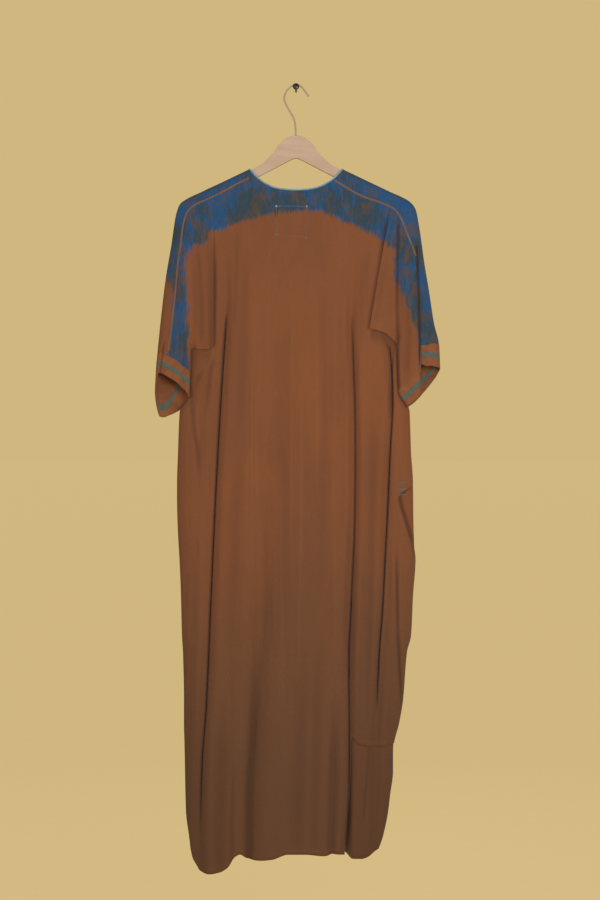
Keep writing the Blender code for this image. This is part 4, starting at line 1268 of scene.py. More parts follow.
def wood_material(colours):
    """Pale beech: long grain, short flecks, dull lacquer, grey handling marks."""
    made, paint, shader = open_material("pale beech")
    if paint is None:
        return made
    place = paint.object_place()
    bands = paint.noise(paint.stretch(place, (5.0, 14.0, 46.0), (0.0, 0.1, 0.0)), 1.0, 3.0, 0.5, 0.8)
    grain = paint.ramp(bands, 0.32, 0.7)
    flecks = paint.noise(place, (90.0, 300.0, 700.0), 3.0, 0.65)
    base = paint.mix(grain, colours.wood, colours.wood_dark)
    base = paint.mix(paint.times(paint.ramp(flecks, 0.52, 0.75), 0.35), base, colours.wood_fleck)
    marks = paint.noise(place, 24.0, 4.0, 0.6)
    base = paint.mix(paint.times(paint.ramp(marks, 0.55, 0.8), 0.3), base, colours.wood_fleck)
    paint.set(
        shader, Base_Color=base, Roughness=paint.plus(0.58, flecks, 0.15), Specular_IOR_Level=0.25,
        Coat_Weight=0.05, Coat_Roughness=0.4, Normal=paint.bump(paint.plus(grain, flecks, 0.6), 0.0004, 0.35),
    )
    return made


def metal_material(name, tint, dull, rough_low, rough_high, metallic):
    """Drawn or rolled metal with fine scratches and dull spots."""
    made, paint, shader = open_material(name)
    if paint is None:
        return made
    place = paint.object_place()
    spots = paint.noise(place, 260.0, 4.0, 0.65)
    lines = paint.noise(place, (300.0, 300.0, 1900.0), 2.0, 0.6)
    worn = paint.ramp(spots, 0.5, 0.72)
    paint.set(
        shader, Base_Color=paint.mix(worn, tint, dull), Metallic=metallic,
        Roughness=paint.plus(paint.plus(rough_low, worn, rough_high - rough_low), lines, 0.1),
        Normal=paint.bump(paint.plus(spots, lines, 0.4), 0.0002, 0.3),
    )
    return made


def shell_material(colours):
    """Polished brown button, clouded through its thickness."""
    made, paint, shader = open_material("brown button")
    if paint is None:
        return made
    place = paint.object_place()
    clouds = paint.noise(place, 210.0, 4.0, 0.6, 1.6)
    scratches = paint.noise(place, 1300.0, 2.0, 0.6)
    paint.set(
        shader, Base_Color=paint.mix(paint.ramp(clouds, 0.35, 0.68), colours.button, colours.button_light),
        Roughness=paint.plus(0.16, scratches, 0.22), Coat_Weight=0.4,
        Normal=paint.bump(scratches, 0.0002, 0.15),
    )
    return made


def floor_material(stage):
    """Pale matt floor, lifted by a glow so that it meets the backdrop without an edge."""
    made, paint, shader = open_material("pale floor")
    specks = paint.noise(paint.object_place(), 18.0, 4.0, 0.6)
    darker = tuple(c * FLOOR_SPECK for c in stage.floor_colour)
    paint.set(
        shader, Base_Color=paint.mix(paint.ramp(specks, 0.3, 0.7), stage.floor_colour, darker),
        Roughness=0.75, Normal=paint.bump(specks, 0.001, 0.1), Emission_Color=stage.floor_glow,
        Emission_Strength=1.0,
    )
    return made


# Settings that a user would change


def colour_field(name, description, default):
    return FloatVectorProperty(
        name=name, description=description, default=default, subtype="COLOR", size=3, min=0, max=1
    )


def field(name, description, default, unit="LENGTH"):
    return FloatProperty(name=name, description=description, default=default, unit=unit)


class KaftanSizes(bpy.types.PropertyGroup):
    wall: field("Cloth", "Thickness of the cotton", 0.0013)
    cuff_wall: field("Cuff cloth", "Thickness of the folded cuff", 0.002)
    stitch: field("Stitch", "Length of a stitch", 0.0026)
    stitch_gap: field("Stitch gap", "Gap between stitches", 0.0009)
    thread: field("Thread", "Width of the sewing thread", 0.0007)
    welt: field("Seam welt", "Width of the raised overarm seam", 0.0040)
    hem_inset: field("Hem", "Depth of the turned hem in millimetres", 9.0, "NONE")
    button_radius: field("Button radius", "Radius of a button", 0.0065)
    wire: field("Hook wire", "Radius of the hook's wire", 0.00175)


class KaftanColours(bpy.types.PropertyGroup):
    rust: colour_field("Rust", "Main dye", (0.240, 0.078, 0.027))
    # Also the colour of the painted shade high on the body, and the cuffs darken toward it at their hem edge
    rust_dark: colour_field("Dark rust", "Deeper clouds of the main dye", (0.180, 0.065, 0.027))
    rust_light: colour_field("Light rust", "Pale worn threads", (0.275, 0.105, 0.046))
    # Colour of the painted shade toward the hem
    rust_low_shade: colour_field("Low rust", "Greyed dye toward the hem", (0.096, 0.053, 0.031))
    # Colour of the painted shade in the creases, beside the sleeves' laps, along the slit and on the low
    # sides
    rust_crease_shade: colour_field("Fold rust", "Soiled depth of the creases", (0.040, 0.018, 0.011))
    blue: colour_field("Blue", "Clear streaks of the band", (0.013, 0.078, 0.212))
    blue_dull: colour_field("Dull blue", "Flat parts of the band", (0.030, 0.055, 0.080))
    band_ground: colour_field("Band ground", "Cloth between the blue streaks", (0.098, 0.060, 0.038))
    cuff: colour_field("Cuff", "Rust orange of the cuffs", (0.258, 0.095, 0.039))
    cuff_dark: colour_field("Dark cuff", "Shaded clouds of the cuffs", (0.190, 0.070, 0.031))
    teal: colour_field("Teal", "Line of the cuffs", (0.066, 0.150, 0.146))
    teal_dark: colour_field("Dark teal", "Threads of the cuff line", (0.045, 0.110, 0.112))
    binding: colour_field("Binding", "Light blue neck strip", (0.070, 0.230, 0.400))
    binding_light: colour_field("Light binding", "Pale threads of the neck strip", (0.230, 0.420, 0.540))
    seam: colour_field("Seam", "Overarm seam", (0.128, 0.076, 0.046))
    seam_light: colour_field("Light seam", "Worn top of the overarm seam", (0.172, 0.102, 0.066))
    tack: colour_field("Tack", "Grey teal of the bar tacks", (0.120, 0.160, 0.155))
    label_thread: colour_field("Label thread", "Pale blue thread below the neck", (0.055, 0.240, 0.430))
    wood: colour_field("Wood", "Hanger", (0.545, 0.400, 0.305))
    wood_dark: colour_field("Wood grain", "Darker grain of the hanger", (0.475, 0.338, 0.248))
    wood_fleck: colour_field("Wood flecks", "Flecks and marks of the hanger", (0.385, 0.262, 0.182))
    button: colour_field("Button", "Button", (0.190, 0.095, 0.050))
    button_light: colour_field("Button cloud", "Clouds in a button", (0.420, 0.260, 0.150))
    wire: colour_field("Wire", "Hook", (0.42, 0.35, 0.24))
    wire_dull: colour_field("Dull wire", "Dull spots of the hook", (0.33, 0.275, 0.195))
    nail: colour_field("Nail", "Wall nail", (0.045, 0.038, 0.034))
    nail_worn: colour_field("Worn nail", "Rubbed spots of the nail", (0.11, 0.085, 0.07))


class KaftanStage(bpy.types.PropertyGroup):
    distance: field("Distance", "Camera to garment", 3.6)
    frame_height: field("Frame height", "Height that the picture shows", 1.7955)
    centre_x: field("Centre across", "Middle of the picture", 0.008)
    centre_z: field("Centre height", "Middle of the picture", -0.728)
    floor: field("Floor", "Height of the floor", -1.95)
    key_power: field("Key light", "Main soft light in watts", 30.5, "POWER")
    fill_power: field("Fill light", "Second soft light in watts", 8.5, "POWER")
    world: field("Room light", "Even light from the room", 0.235, "NONE")
    floor_colour: colour_field("Floor", "Pale floor", (0.15, 0.125, 0.08))
    floor_glow: colour_field("Floor glow", "Lifts the floor to the backdrop", (0.579, 0.4245, 0.173))
    backdrop: colour_field("Backdrop", "Plain pale backdrop", (0.631, 0.4736, 0.212))


class KaftanOperator:
    bl_options = {"REGISTER", "UNDO"}

    @property
    def sizes(self):
        return bpy.context.scene.kaftan_sizes

    @property
    def colours(self):
        return bpy.context.scene.kaftan_colours


# Square lights in metres, each with its share of the key or fill light's power
LAMPS = (
    ("key light", (0.55, -2.2, -0.32), (0.0, 0.0, -0.56), 0.9, "key_power", 1.0),
    ("fill light", (-1.7, -1.8, 0.6), (0.0, 0.0, -0.6), 1.5, "fill_power", 1.0),
    ("far light", (0.4, 2.4, 0.5), (0.0, 0.0, -0.7), 1.8, "key_power", 0.7),
)
SENSOR_WIDTH = 36.0
FLOOR_SIZE = 400.0


class KAFTAN_OT_stage(KaftanOperator, bpy.types.Operator):
    """Camera at the photo's angle, soft lights and a plain pale floor"""

    bl_idname = "kaftan.stage"
    bl_label = "Stage"

    def execute(self, context):
        stage = context.scene.kaftan_stage
        camera_data = bpy.data.cameras.new("front camera")
        camera_data.sensor_width = SENSOR_WIDTH
        camera_data.lens = SENSOR_WIDTH * stage.distance / stage.frame_height
        camera = new_object("front camera", camera_data)
        nearest = (HANG_PLANE - GARMENT_DEPTH) * MM
        camera.location = (stage.centre_x, nearest - stage.distance, stage.centre_z)
        camera.rotation_euler = (math.radians(90.0), 0.0, 0.0)
        context.scene.camera = camera
        for name, place, aim, size, power, share in LAMPS:
            lamp = bpy.data.lights.new(name, "AREA")
            lamp.shape = "SQUARE"
            lamp.size = size
            lamp.energy = getattr(stage, power) * share
            made = new_object(name, lamp)
            made.location = place
            # The light behind leaves no sparkle along the hanger's edges
            made.visible_glossy = place[1] < 0.0
            made.rotation_euler = (Vector(aim) - Vector(place)).to_track_quat("-Z", "Y").to_euler()
        world = bpy.data.worlds.new("pale room")
        world.use_nodes = True
        context.scene.world = world
        paint = Paint(world.node_tree)
        seen = paint.add("ShaderNodeLightPath").outputs["Is Camera Ray"]
        colour = paint.mix(seen, (stage.world, stage.world, stage.world), stage.backdrop)
        paint.set(world.node_tree.nodes["Background"], Color=colour)
        bpy.ops.mesh.primitive_plane_add(size=FLOOR_SIZE, location=(0.0, 0.0, stage.floor))
        floor = context.view_layer.objects.active
        floor.name = "floor"
        floor.data.materials.append(floor_material(stage))
        context.scene.view_settings.view_transform = "Standard"
        return {"FINISHED"}


BACK_SHARES = spaced(
    (0.0, 0.03, 0.145, 0.175, 0.2, 0.37, 0.5, 0.66, 0.749, 0.752, 0.757, 0.775, 0.79, 0.86, 0.885, 0.915,
     0.97, 1.0),
    (7, 18, 20, 6, 24, 18, 24, 18, 2, 1, 11, 4, 13, 6, 20, 12, 7),
)
BACK_LEVELS = np.concatenate((
    np.arange(300, 478, 7.0), np.arange(478, 540, 4.0), np.arange(540, 660, 5.0),
    np.arange(660, 790, 7.0), np.arange(790, 830, 3.0), np.arange(830, 950, 6.0),
    np.arange(950, 1540, 9.0), (1545.0, 1556.0, 1566.0, 1574.0),
))
FRONT_SHARES = spaced((0.0, 0.08, 0.3, 0.66, 0.9, 1.0), (12, 18, 22, 14, 8))
FRONT_LEVELS = np.concatenate((
    np.arange(320, 660, 6.0), np.arange(660, 1500, 9.0), (1508.0, 1520.0, 1532.0, 1543.0),
))


def cloth_piece(name, grid, outward, values, wall, paint, slot, node):
    """A finished sheet of cloth in place of its solid, and the area of its one layer."""
    made = sheet_object(name, grid, outward, values)
    area = mesh_area(made)
    thicken(made, wall)
    return finish_piece(made, paint, slot, node), area


class KAFTAN_OT_back_panel(KaftanOperator, bpy.types.Operator):
    """Back of the kaftan with its long folds, slit and raised right hem"""

    bl_idname = "kaftan.back_panel"
    bl_label = "Back"

    def execute(self, context):
        grid = panel_grid(BACK_SHARES, BACK_LEVELS, back_top, back_place, back_hem, back_depth, -1)
        made, area = cloth_piece(
            "kaftan_back", grid, away_from_plane, back_values(grid),
            self.sizes.wall, body_material(self.colours), "rust_cloth", "back_panel",
        )
        return {"FINISHED"}


class KAFTAN_OT_fronts(KaftanOperator, bpy.types.Operator):
    """Left front and the right front that laps over it"""

    bl_idname = "kaftan.fronts"
    bl_label = "Fronts"

    def execute(self, context):
        for side, edge, depth in ((-1, "left", front_depth), (1, "right", upper_front_depth)):
            place, top, hem = front_place(side), front_top(side), front_hem(side)
            grid = panel_grid(FRONT_SHARES, FRONT_LEVELS, top, place, hem, depth, 1)
            made, area = cloth_piece(
                f"kaftan_front_{edge}", grid, away_from_plane, front_values(grid),
                self.sizes.wall, body_material(self.colours), "rust_cloth", f"front_{edge}",
            )
        return {"FINISHED"}


PLACKET_RIGHT = 17.0
PLACKET_LIFT = 1.5
PLACKET_ACROSS = np.array([
    -FRONT_LAP_HALF, -13.2, -11.5, -9.0, -5.0, 0.0, 5.0, 9.0, 12.5, 15.2, 16.4, PLACKET_RIGHT,
])


class KAFTAN_OT_placket(KaftanOperator, bpy.types.Operator):
    """Buttonhole band along the centre of the upper front"""

    bl_idname = "kaftan.placket"
    bl_label = "Placket"

    def execute(self, context):
        drops = np.linspace(NECK_DROP + FRONT_NECK_DEPTH + 1.0, BAND_END, 220)
        drop, x = np.meshgrid(drops, PLACKET_ACROSS, indexing="ij")
        edge = np.minimum(x + FRONT_LAP_HALF, PLACKET_RIGHT - x)
        soft = 0.5 * smooth(edge, 0.0, 2.5) - 0.45 * np.exp(-((edge - 3.0) / 0.8) ** 2)
        ripple = 0.25 * np.sin(drop / 9.0) * np.sin(drop / 31.0 + x / 7.0)
        depth = upper_front_depth(x, drop) + PLACKET_LIFT + soft + ripple
        grid = np.stack((x, HANG_PLANE + depth, -drop), axis=-1)
        made, area = cloth_piece(
            "placket", grid, away_from_plane, front_values(grid),
            self.sizes.wall * 0.9, body_material(self.colours), "rust_cloth", "placket_band",
        )
        area = min(area, 0.031 * 1.27)
        return {"FINISHED"}


SLEEVE_SIDES = (
    ("left", LEFT_RINGS, LEFT_SAG, LEFT_NEAR_CREASES, LEFT_FAR_CREASES),
    ("right", RIGHT_RINGS, RIGHT_SAG, RIGHT_NEAR_CREASES, RIGHT_FAR_CREASES),
)
SLEEVE_TURNS = spaced((-1.0, -0.85, -0.5, -0.12, 0.12, 0.5, 0.85, 1.0), (14, 30, 34, 26, 26, 22, 10))
SLEEVE_STEPS = spaced((0.0, 1.0, 4.0, 8.0), (12, 34, 46))
CUFF_STEPS = np.linspace(CUFF_START, CUFF_END, 28)


def away_from_arm(grid):
    """Outward direction of a sleeve: away from the middle of each of its rings."""
    centre = grid.mean(axis=1, keepdims=True)
    outward = (grid - centre)[:-1, :-1].reshape(-1, 3)
    return lambda points: outward


class KAFTAN_OT_sleeves(KaftanOperator, bpy.types.Operator):
    """Short wide sleeves that lap over the body"""

    bl_idname = "kaftan.sleeves"
    bl_label = "Sleeves"

    def execute(self, context):
        for name, rings, sag, near, far in SLEEVE_SIDES:
            grid = sleeve_grid(rings, sag, SLEEVE_STEPS, SLEEVE_TURNS, near, far)
            made, area = cloth_piece(
                f"kaftan_sleeve_{name}", grid, away_from_arm(grid), sleeve_values(grid, near, far),
                self.sizes.wall, body_material(self.colours), "rust_cloth", f"sleeve_{name}",
            )
        return {"FINISHED"}


# How far the teal line of the left cuff's front half is shifted, by the share round from the overarm
FAR_LINE_SHARES = (0.0, 0.2, 0.42, 0.65, 1.0)
FAR_LINE_SHIFTS = (-0.16, -0.12, -0.02, 0.25, 0.31)


def cuff_values(name):
    """Across each cuff from its seam to its hem, and the same shifted to where the teal line runs."""
    across, turn = np.meshgrid(np.linspace(0.0, 1.0, len(CUFF_STEPS)), SLEEVE_TURNS, indexing="ij")
    line = across.copy()
    if name == "left":
        share = (1.0 - np.cos(math.pi * np.abs(turn))) / 2
        line = np.where(turn > 0, line + curve(FAR_LINE_SHARES, FAR_LINE_SHIFTS, share), line)
        line = np.where(share < 0.05, -1.0, line)
    return {"across": across, "line": line}


class KAFTAN_OT_cuffs(KaftanOperator, bpy.types.Operator):
    """Rust cuffs with a teal line"""

    bl_idname = "kaftan.cuffs"
    bl_label = "Cuffs"

    def execute(self, context):
        for name, rings, sag, near, far in SLEEVE_SIDES:
            grid = sleeve_grid(rings, sag, CUFF_STEPS, SLEEVE_TURNS, near, far)
            made, _ = cloth_piece(
                f"kaftan_cuff_{name}", grid, away_from_arm(grid), cuff_values(name),
                self.sizes.cuff_wall, cuff_material(self.colours), "cuff_cloth", f"cuff_{name}",
            )
        return {"FINISHED"}


def neck_line():
    """Points round the neck edge in millimetres: left front, back, right front."""
    parts = []
    for turns, neck_depth, way, side, depth in (
        (np.linspace(0.82 * LAST_NECK_TURN, 0.0, 40, endpoint=False), FRONT_NECK_DEPTH, 1, 1, front_depth),
        (np.linspace(0.0, math.pi, 70), BACK_NECK_DEPTH, 1, -1, back_depth),
        (np.linspace(0.0, LAST_NECK_TURN, 48)[1:], FRONT_NECK_DEPTH, -1, 1, upper_front_depth),
    ):
        x, drop = neck_point(turns, neck_depth)
        parts.append(np.stack((way * x, HANG_PLANE + side * depth(way * x, drop), -drop), axis=1))
    return np.concatenate(parts)


class KAFTAN_OT_neck_binding(KaftanOperator, bpy.types.Operator):
    """Narrow light-blue strip along the neck edge"""

    bl_idname = "kaftan.neck_binding"
    bl_label = "Neck binding"

    def execute(self, context):
        centres = neck_line() * MM
        tangents = unit(np.gradient(centres, axis=0))
        inward = np.array([0.0, HANG_PLANE * MM, -0.10]) - centres
        inward[:, 1] = 0.0
        inward = unit(inward - tangents * np.sum(inward * tangents, axis=1, keepdims=True))
        facing = np.cross(tangents, inward)
        vertices, places = [], []
        for k, run in enumerate(run_along(centres)):
            swell = 1.0 + 0.07 * math.sin(run * 640.0) + 0.05 * math.sin(run * 1510.0)
            for wide, rise in BINDING_SECTION:
                aside, up = facing[k] * 0.0015 * wide * swell, inward[k] * (0.0020 * rise * swell)
                vertices.append(centres[k] + aside + up)
                places.append((wide * 0.002 + rise * 0.003, run))
        made = swept_object("kaftan_neck_binding", vertices, places, len(BINDING_SECTION))
        colours = self.colours
        paint = plain_cloth("light blue binding", colours.binding, colours.binding_light)
        finish_piece(made, paint, "binding_cloth", "neck_binding")
        return {"FINISHED"}


# Corners of the stitched square below the neck as (x, drop), and the middles of its sides
NECK_SQUARE = ((-39, 241), (22, 241.6), (-38.6, 298), (21, 304))
SQUARE_MIDDLES = ((-8, 241), (-8, 300), (-38.8, 270), (21.6, 272))
# Bar tacks of the slit: their drops, and their course as (x, fall), on the back and on the left front
BACK_TACKS = ((794.0, 807.0, 818.0), ((203.0, 0.0), (213.0, -1.0), (222.0, -1.6)))
FRONT_TACKS = ((796.0, 808.0, 819.0), ((-228.0, 0.0), (-220.0, 0.0), (-210.0, 0.0)))
# Length, gap, width and height of the thicker stitches, in metres
SQUARE_TOP_STITCH = (0.0034, 0.0010, 0.0017, 0.0008)
SQUARE_REST_STITCH = (0.0030, 0.0016, 0.0011, 0.0006)
KNOT_STITCH = (0.0042, 0.0002, 0.0014, 0.0010)
LOW_KNOT_STITCH = (0.0042, 0.0002, 0.0014, 0.0008)
TACK_STITCH = (0.0045, 0.0002, 0.0010, 0.0008)
HOLE_STITCH = (0.0016, 0.0002, 0.0008, 0.0006)


def sew(name, runs, stitch, thread, slot="rust_cloth"):
    """Rows of stitches as one finished piece."""
    return finish_piece(stitch_object(name, runs, *stitch), thread, slot)


class KAFTAN_OT_stitching(KaftanOperator, bpy.types.Operator):
    """Overarm seams, hem and placket stitches, bar tacks and the stitched square below the neck"""

    bl_idname = "kaftan.stitching"
    bl_label = "Stitching"

    def seams(self, cloth):
        """Both welts; returns the runs of stitches along their sides."""
        paint = thread_material("seam cloth", self.colours.seam, self.colours.seam_light)
        runs = []
        for name, line in (("left", LEFT_SEAM), ("right", RIGHT_SEAM)):
            points, normals = on_cloth(cloth, even_path(line, 3.0), -1)
            welt = welt_object(f"overarm_seam_{name}", points, normals, self.sizes.welt, 0.0008)
            finish_piece(welt, paint, "rust_cloth")
            across = unit(np.cross(normals, np.gradient(points, axis=0)))
            for shift in (-0.0016, 0.0016):
                runs.append((points + across * shift + normals * 0.0006, normals))
        return runs

    def hems(self, back, fronts, placket):
        """Runs along the hems and along both edges of the placket."""
        runs = []
        for trees, side, place, hem, shares in (
            (back, -1, back_place, back_hem, np.linspace(0.03, 0.745, 260)),
            (back, -1, back_place, back_hem, np.linspace(0.765, 0.97, 60)),
            (fronts, 1, front_place(-1), front_hem(-1), np.linspace(0.04, 0.96, 140)),
            (fronts, 1, front_place(1), front_hem(1), np.linspace(0.04, 0.96, 140)),
        ):
            drops = hem(shares) - self.sizes.hem_inset
            runs.append(on_cloth(trees, np.stack((place(shares, drops), drops), axis=1), side))
        drops = np.arange(NECK_DROP + FRONT_NECK_DEPTH + 4.0, BAND_END - 3.0, 4.0)
        for x in (-11.8, 14.8):
            runs.append(on_cloth(placket, np.stack((np.full_like(drops, x), drops), axis=1), 1))
        return runs

    def square(self, back):
        """Runs along the sides of the stitched square: top, bottom, left, right."""
        top_left, top_right, low_left, low_right = NECK_SQUARE
        ends = ((top_left, top_right), (low_left, low_right), (top_left, low_left), (top_right, low_right))
        return [
            on_cloth(back, even_path((start, middle, end), 2.0), -1)
            for (start, end), middle in zip(ends, SQUARE_MIDDLES)
        ]

    def knots(self, back):
        """Three short runs over each corner of the square."""
        return [
            on_cloth(back, even_path([(x + k, drop + shift) for k in (-2.6, 0.0, 2.6)], 0.9), -1)
            for x, drop in NECK_SQUARE for shift in (-1.2, 0.0, 1.2)
        ]

    def tacks(self, trees, rows, side):
        """Three runs side by side for each bar tack."""
        drops, course = rows
        return [
            on_cloth(trees, even_path([(x, drop + shift + fall) for x, fall in course], 1.5), side)
            for drop in drops for shift in (-0.8, 0.0, 0.8)
        ]

    def execute(self, context):
        sizes, colours = self.sizes, self.colours
        cloth = [tree_of(name) for name in ("kaftan_back", "kaftan_sleeve_left", "kaftan_sleeve_right")]
        front = [tree_of(name) for name in ("kaftan_front_left", "kaftan_front_right", "placket")]
        back, fronts = cloth[:1], front[:2]
        rust = thread_material("rust thread", colours.rust_light, colours.seam_light)
        dark = thread_material("dark rust thread", colours.rust_dark, colours.rust_light)
        blue = thread_material("blue thread", colours.blue, colours.label_thread)
        pale = thread_material("pale blue thread", colours.label_thread, colours.binding_light)
        faint = thread_material("faint thread", colours.seam, colours.tack)
        grey = thread_material("grey teal thread", colours.tack, colours.teal)
        plain = (sizes.stitch, sizes.stitch_gap, sizes.thread)
        sew("overarm_stitches", self.seams(cloth), (*plain, 0.0005), rust)
        sew("hem_stitches", self.hems(back, fronts, front), (*plain, 0.0004), dark)
        square, knots = self.square(back), self.knots(back)
        sew("neck_square_top", square[:1], SQUARE_TOP_STITCH, blue, "binding_cloth")
        sew("neck_square_rest", square[1:], SQUARE_REST_STITCH, faint)
        sew("neck_square_knots", knots[:6], KNOT_STITCH, pale, "binding_cloth")
        sew("neck_square_low_knots", knots[6:], LOW_KNOT_STITCH, grey)
        tacks = self.tacks(back + fronts, BACK_TACKS, -1) + self.tacks(front[:1], FRONT_TACKS, 1)
        sew("slit_tacks", tacks, TACK_STITCH, grey)
        return {"FINISHED"}


BUTTON_THICKNESS = 0.0026
# Share of a button's radius from its middle to each hole, along both of its axes
HOLE_REACH = 0.24


def button_mesh(name, radius, thickness):
    """A turned button with a raised rim, a dished middle and four holes."""
    bpy.ops.object.select_all(action="DESELECT")
    bpy.ops.mesh.primitive_cylinder_add(vertices=32, radius=radius, depth=thickness, location=(0, 0, 0))
    made = start_piece(name)
    pick(made, "FACE", lambda middle, face: face.normal.z > 0.9)
    bpy.ops.mesh.inset(thickness=radius * 0.16)
    bpy.ops.mesh.inset(thickness=radius * 0.12, depth=-thickness * 0.28)
    bpy.ops.object.mode_set(mode="OBJECT")
    cutters = []
    for dx, dy in ((-1, -1), (-1, 1), (1, -1), (1, 1)):
        bpy.ops.object.select_all(action="DESELECT")
        bpy.ops.mesh.primitive_cylinder_add(
            vertices=12, radius=radius * 0.12, depth=thickness * 3,
            location=(dx * radius * HOLE_REACH, dy * radius * HOLE_REACH, 0),
        )
        cutters.append(bpy.context.view_layer.objects.active)
    for cutter in cutters:
        hole = made.modifiers.new("hole", "BOOLEAN")
        hole.operation = "DIFFERENCE"
        hole.solver = "EXACT"
        hole.object = cutter
    round_edges(made, thickness * 0.16, 3, 40.0)
    apply_modifiers(made)
    for cutter in cutters:
        bpy.data.objects.remove(cutter, do_unlink=True)
    mesh = made.data
    bpy.data.objects.remove(made, do_unlink=True)
    return mesh


class KAFTAN_OT_buttons(KaftanOperator, bpy.types.Operator):
    """Four-hole buttons, their thread and the buttonholes"""

    bl_idname = "kaftan.buttons"
    bl_label = "Buttons"

    def execute(self, context):
        radius, thickness = self.sizes.button_radius, BUTTON_THICKNESS
        pattern = button_mesh("button pattern", radius, thickness)
        shell = shell_material(self.colours)
        reach = radius * HOLE_REACH
        holes, threads = [], []
        placket = [tree_of("placket")]
        for k in range(BUTTON_COUNT):
            name = f"button_{k + 1:02d}"
            drop = BUTTON_FIRST_DROP + BUTTON_SPACING * k
            seat = np.array((BUTTON_X * MM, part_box(name)[0][1] + thickness / 2, -drop * MM))
            mesh = pattern.copy()
            mesh.name = f"{name}_turned"
            turn = 0.4 * math.sin(2.3 * k)
            for vertex in mesh.vertices:
                x, y, z = vertex.co
                a, b = x * math.cos(turn) - y * math.sin(turn), x * math.sin(turn) + y * math.cos(turn)
                vertex.co = (seat[0] - a, seat[1] + z, seat[2] + b)
            mesh.shade_smooth()
            made = new_object(mesh.name, mesh)
            select_only(made)
            bpy.ops.object.shade_smooth_by_angle(angle=math.radians(35.0))
            made.select_set(False)
            finish_piece(made, shell, "button_shell", name)
            top = np.array((0.0, thickness * 0.25, 0.0))
            for sign in (-1, 1):
                corners = []
                for way in (-1, 1):
                    a = reach * (sign * math.cos(turn) - way * math.sin(turn))
                    b = reach * (sign * math.sin(turn) + way * math.cos(turn))
                    corners.append(seat + top + np.array((-a, 0.0, b)))
                threads.append((np.array(corners), np.array([(0.0, 1.0, 0.0)] * 2)))
            for x in (BUTTON_X - 9.0, BUTTON_X - 8.2, BUTTON_X + 8.4, BUTTON_X + 9.2):
                bar = ((x, drop - 1.2), (x, drop), (x, drop + 1.2))
                holes.append(on_cloth(placket, even_path(bar, 0.8), 1))
            for level in (drop - 1.0, drop + 1.0):
                side = ((BUTTON_X - 9.0, level), (BUTTON_X, level), (BUTTON_X + 9.2, level))
                holes.append(on_cloth(placket, even_path(side, 1.5), 1))
        bpy.data.meshes.remove(pattern)
        thread = thread_material("dark rust thread", self.colours.rust_dark, self.colours.rust_light)
        sew("button_thread", threads, (reach * 1.9, 0.0001, 0.0009, 0.0008), thread)
        sew("buttonhole_stitches", holes, HOLE_STITCH, thread)
        return {"FINISHED"}


HANGER_TOP = (
    (0, 98), (8, 98.6), (15, 101), (21.5, 104.6), (27, 109), (31.8, 114), (36, 119), (40.4, 125.4),
    (45, 132), (50.3, 138.2), (56, 144), (62, 149.6), (68, 155), (76, 160), (84, 164.5), (97, 169.8),
)
HANGER_LOW = (
    (0, 143), (5, 144.2), (12, 147.5), (45, 164.5), (79, 182), (125, 204.6), (170, 228), (190, 238),
    (210, 246),
)
HANGER_STATIONS = (
    0, 5, 8, 12, 15, 21.5, 27, 31.8, 36, 40.4, 45, 50.3, 56, 62, 68, 76, 84, 97, 110, 125, 140, 155, 170,
    190, 206,
)
# Distances from the middle, with the share of the arm's height that is left there
HANGER_TIP = ((212, 0.94), (217, 0.80), (220, 0.60), (221.5, 0.36), (222, 0.12))
# Gap between the hanger's arm and the cloth that lies on it
TOP_GAP = 1.25
HANGER_ROUNDING = 0.0044


def hanger_edges(x):
    """Drops of the hanger's upper and lower edge at a distance from its middle."""
    arm = [(k, float(crest_drop(k)) + TOP_GAP) for k in (110, 150, 190, ARM_REACH)]
    top = np.interp(x, *zip(*(HANGER_TOP + tuple(arm))))
    tip = (ARM_REACH, arm[-1][1] + ARM_DEPTH)
    return float(top), float(np.interp(x, *zip(*(HANGER_LOW + (tip,)))))


class KAFTAN_OT_hanger(KaftanOperator, bpy.types.Operator):
    """Wooden hanger with rounded edges"""

    bl_idname = "kaftan.hanger"
    bl_label = "Hanger"

    def execute(self, context):
        low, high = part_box("hanger")
        top, bottom = hanger_edges(0.0)
        height = bottom - top
        middle = (top + bottom) / 2
        first = HANGER_STATIONS[1]
        bpy.ops.object.select_all(action="DESELECT")
        bpy.ops.mesh.primitive_plane_add(
            size=1.0, location=(first / 2 * MM, low[1], -middle * MM), rotation=(math.pi / 2, 0.0, 0.0)
        )
        context.view_layer.objects.active.scale = (first * MM, height * MM, 1.0)
        made = start_piece("wood_hanger")
        pick(made, "EDGE", lambda place, edge: place.x > (first - 0.1) * MM)
        stations = [(x, 1.0) for x in HANGER_STATIONS[1:]] + list(HANGER_TIP)
        at = first
        for x, share in stations:
            top, bottom = hanger_edges(x)
            new_middle, new_height = (top + bottom) / 2, (bottom - top) * share
            step = ((x - at) * MM, 0.0, (middle - new_middle) * MM)
            centre = (x * MM, low[1], -new_middle * MM)
            if x == first:
                bpy.ops.transform.translate(value=step)
                bpy.ops.transform.resize(value=(1.0, 1.0, new_height / height), center_override=centre)
            else:
                draw_out(step, (1.0, 1.0, new_height / height), centre)
            at, middle, height = x, new_middle, new_height
        bpy.ops.mesh.select_mode(type="FACE")
        bpy.ops.mesh.select_all(action="SELECT")
        bpy.ops.mesh.extrude_region_move(TRANSFORM_OT_translate={"value": (0.0, high[1] - low[1], 0.0)})
        pick(made, "FACE", lambda place, face: abs(place.x) < 0.05 * MM)
        bpy.ops.mesh.delete(type="FACE")
        bpy.ops.object.mode_set(mode="OBJECT")
        other_half = made.modifiers.new("other half", "MIRROR")
        other_half.merge_threshold = 0.00002
        apply_modifiers(made)
        round_edges(made, HANGER_ROUNDING, 6, 50.0)
        select_only(made)
        bpy.ops.object.mode_set(mode="EDIT")
        end_shaping(made, 32.0)
        finish_piece(made, wood_material(self.colours), "hanger_wood", "hanger")
        return {"FINISHED"}


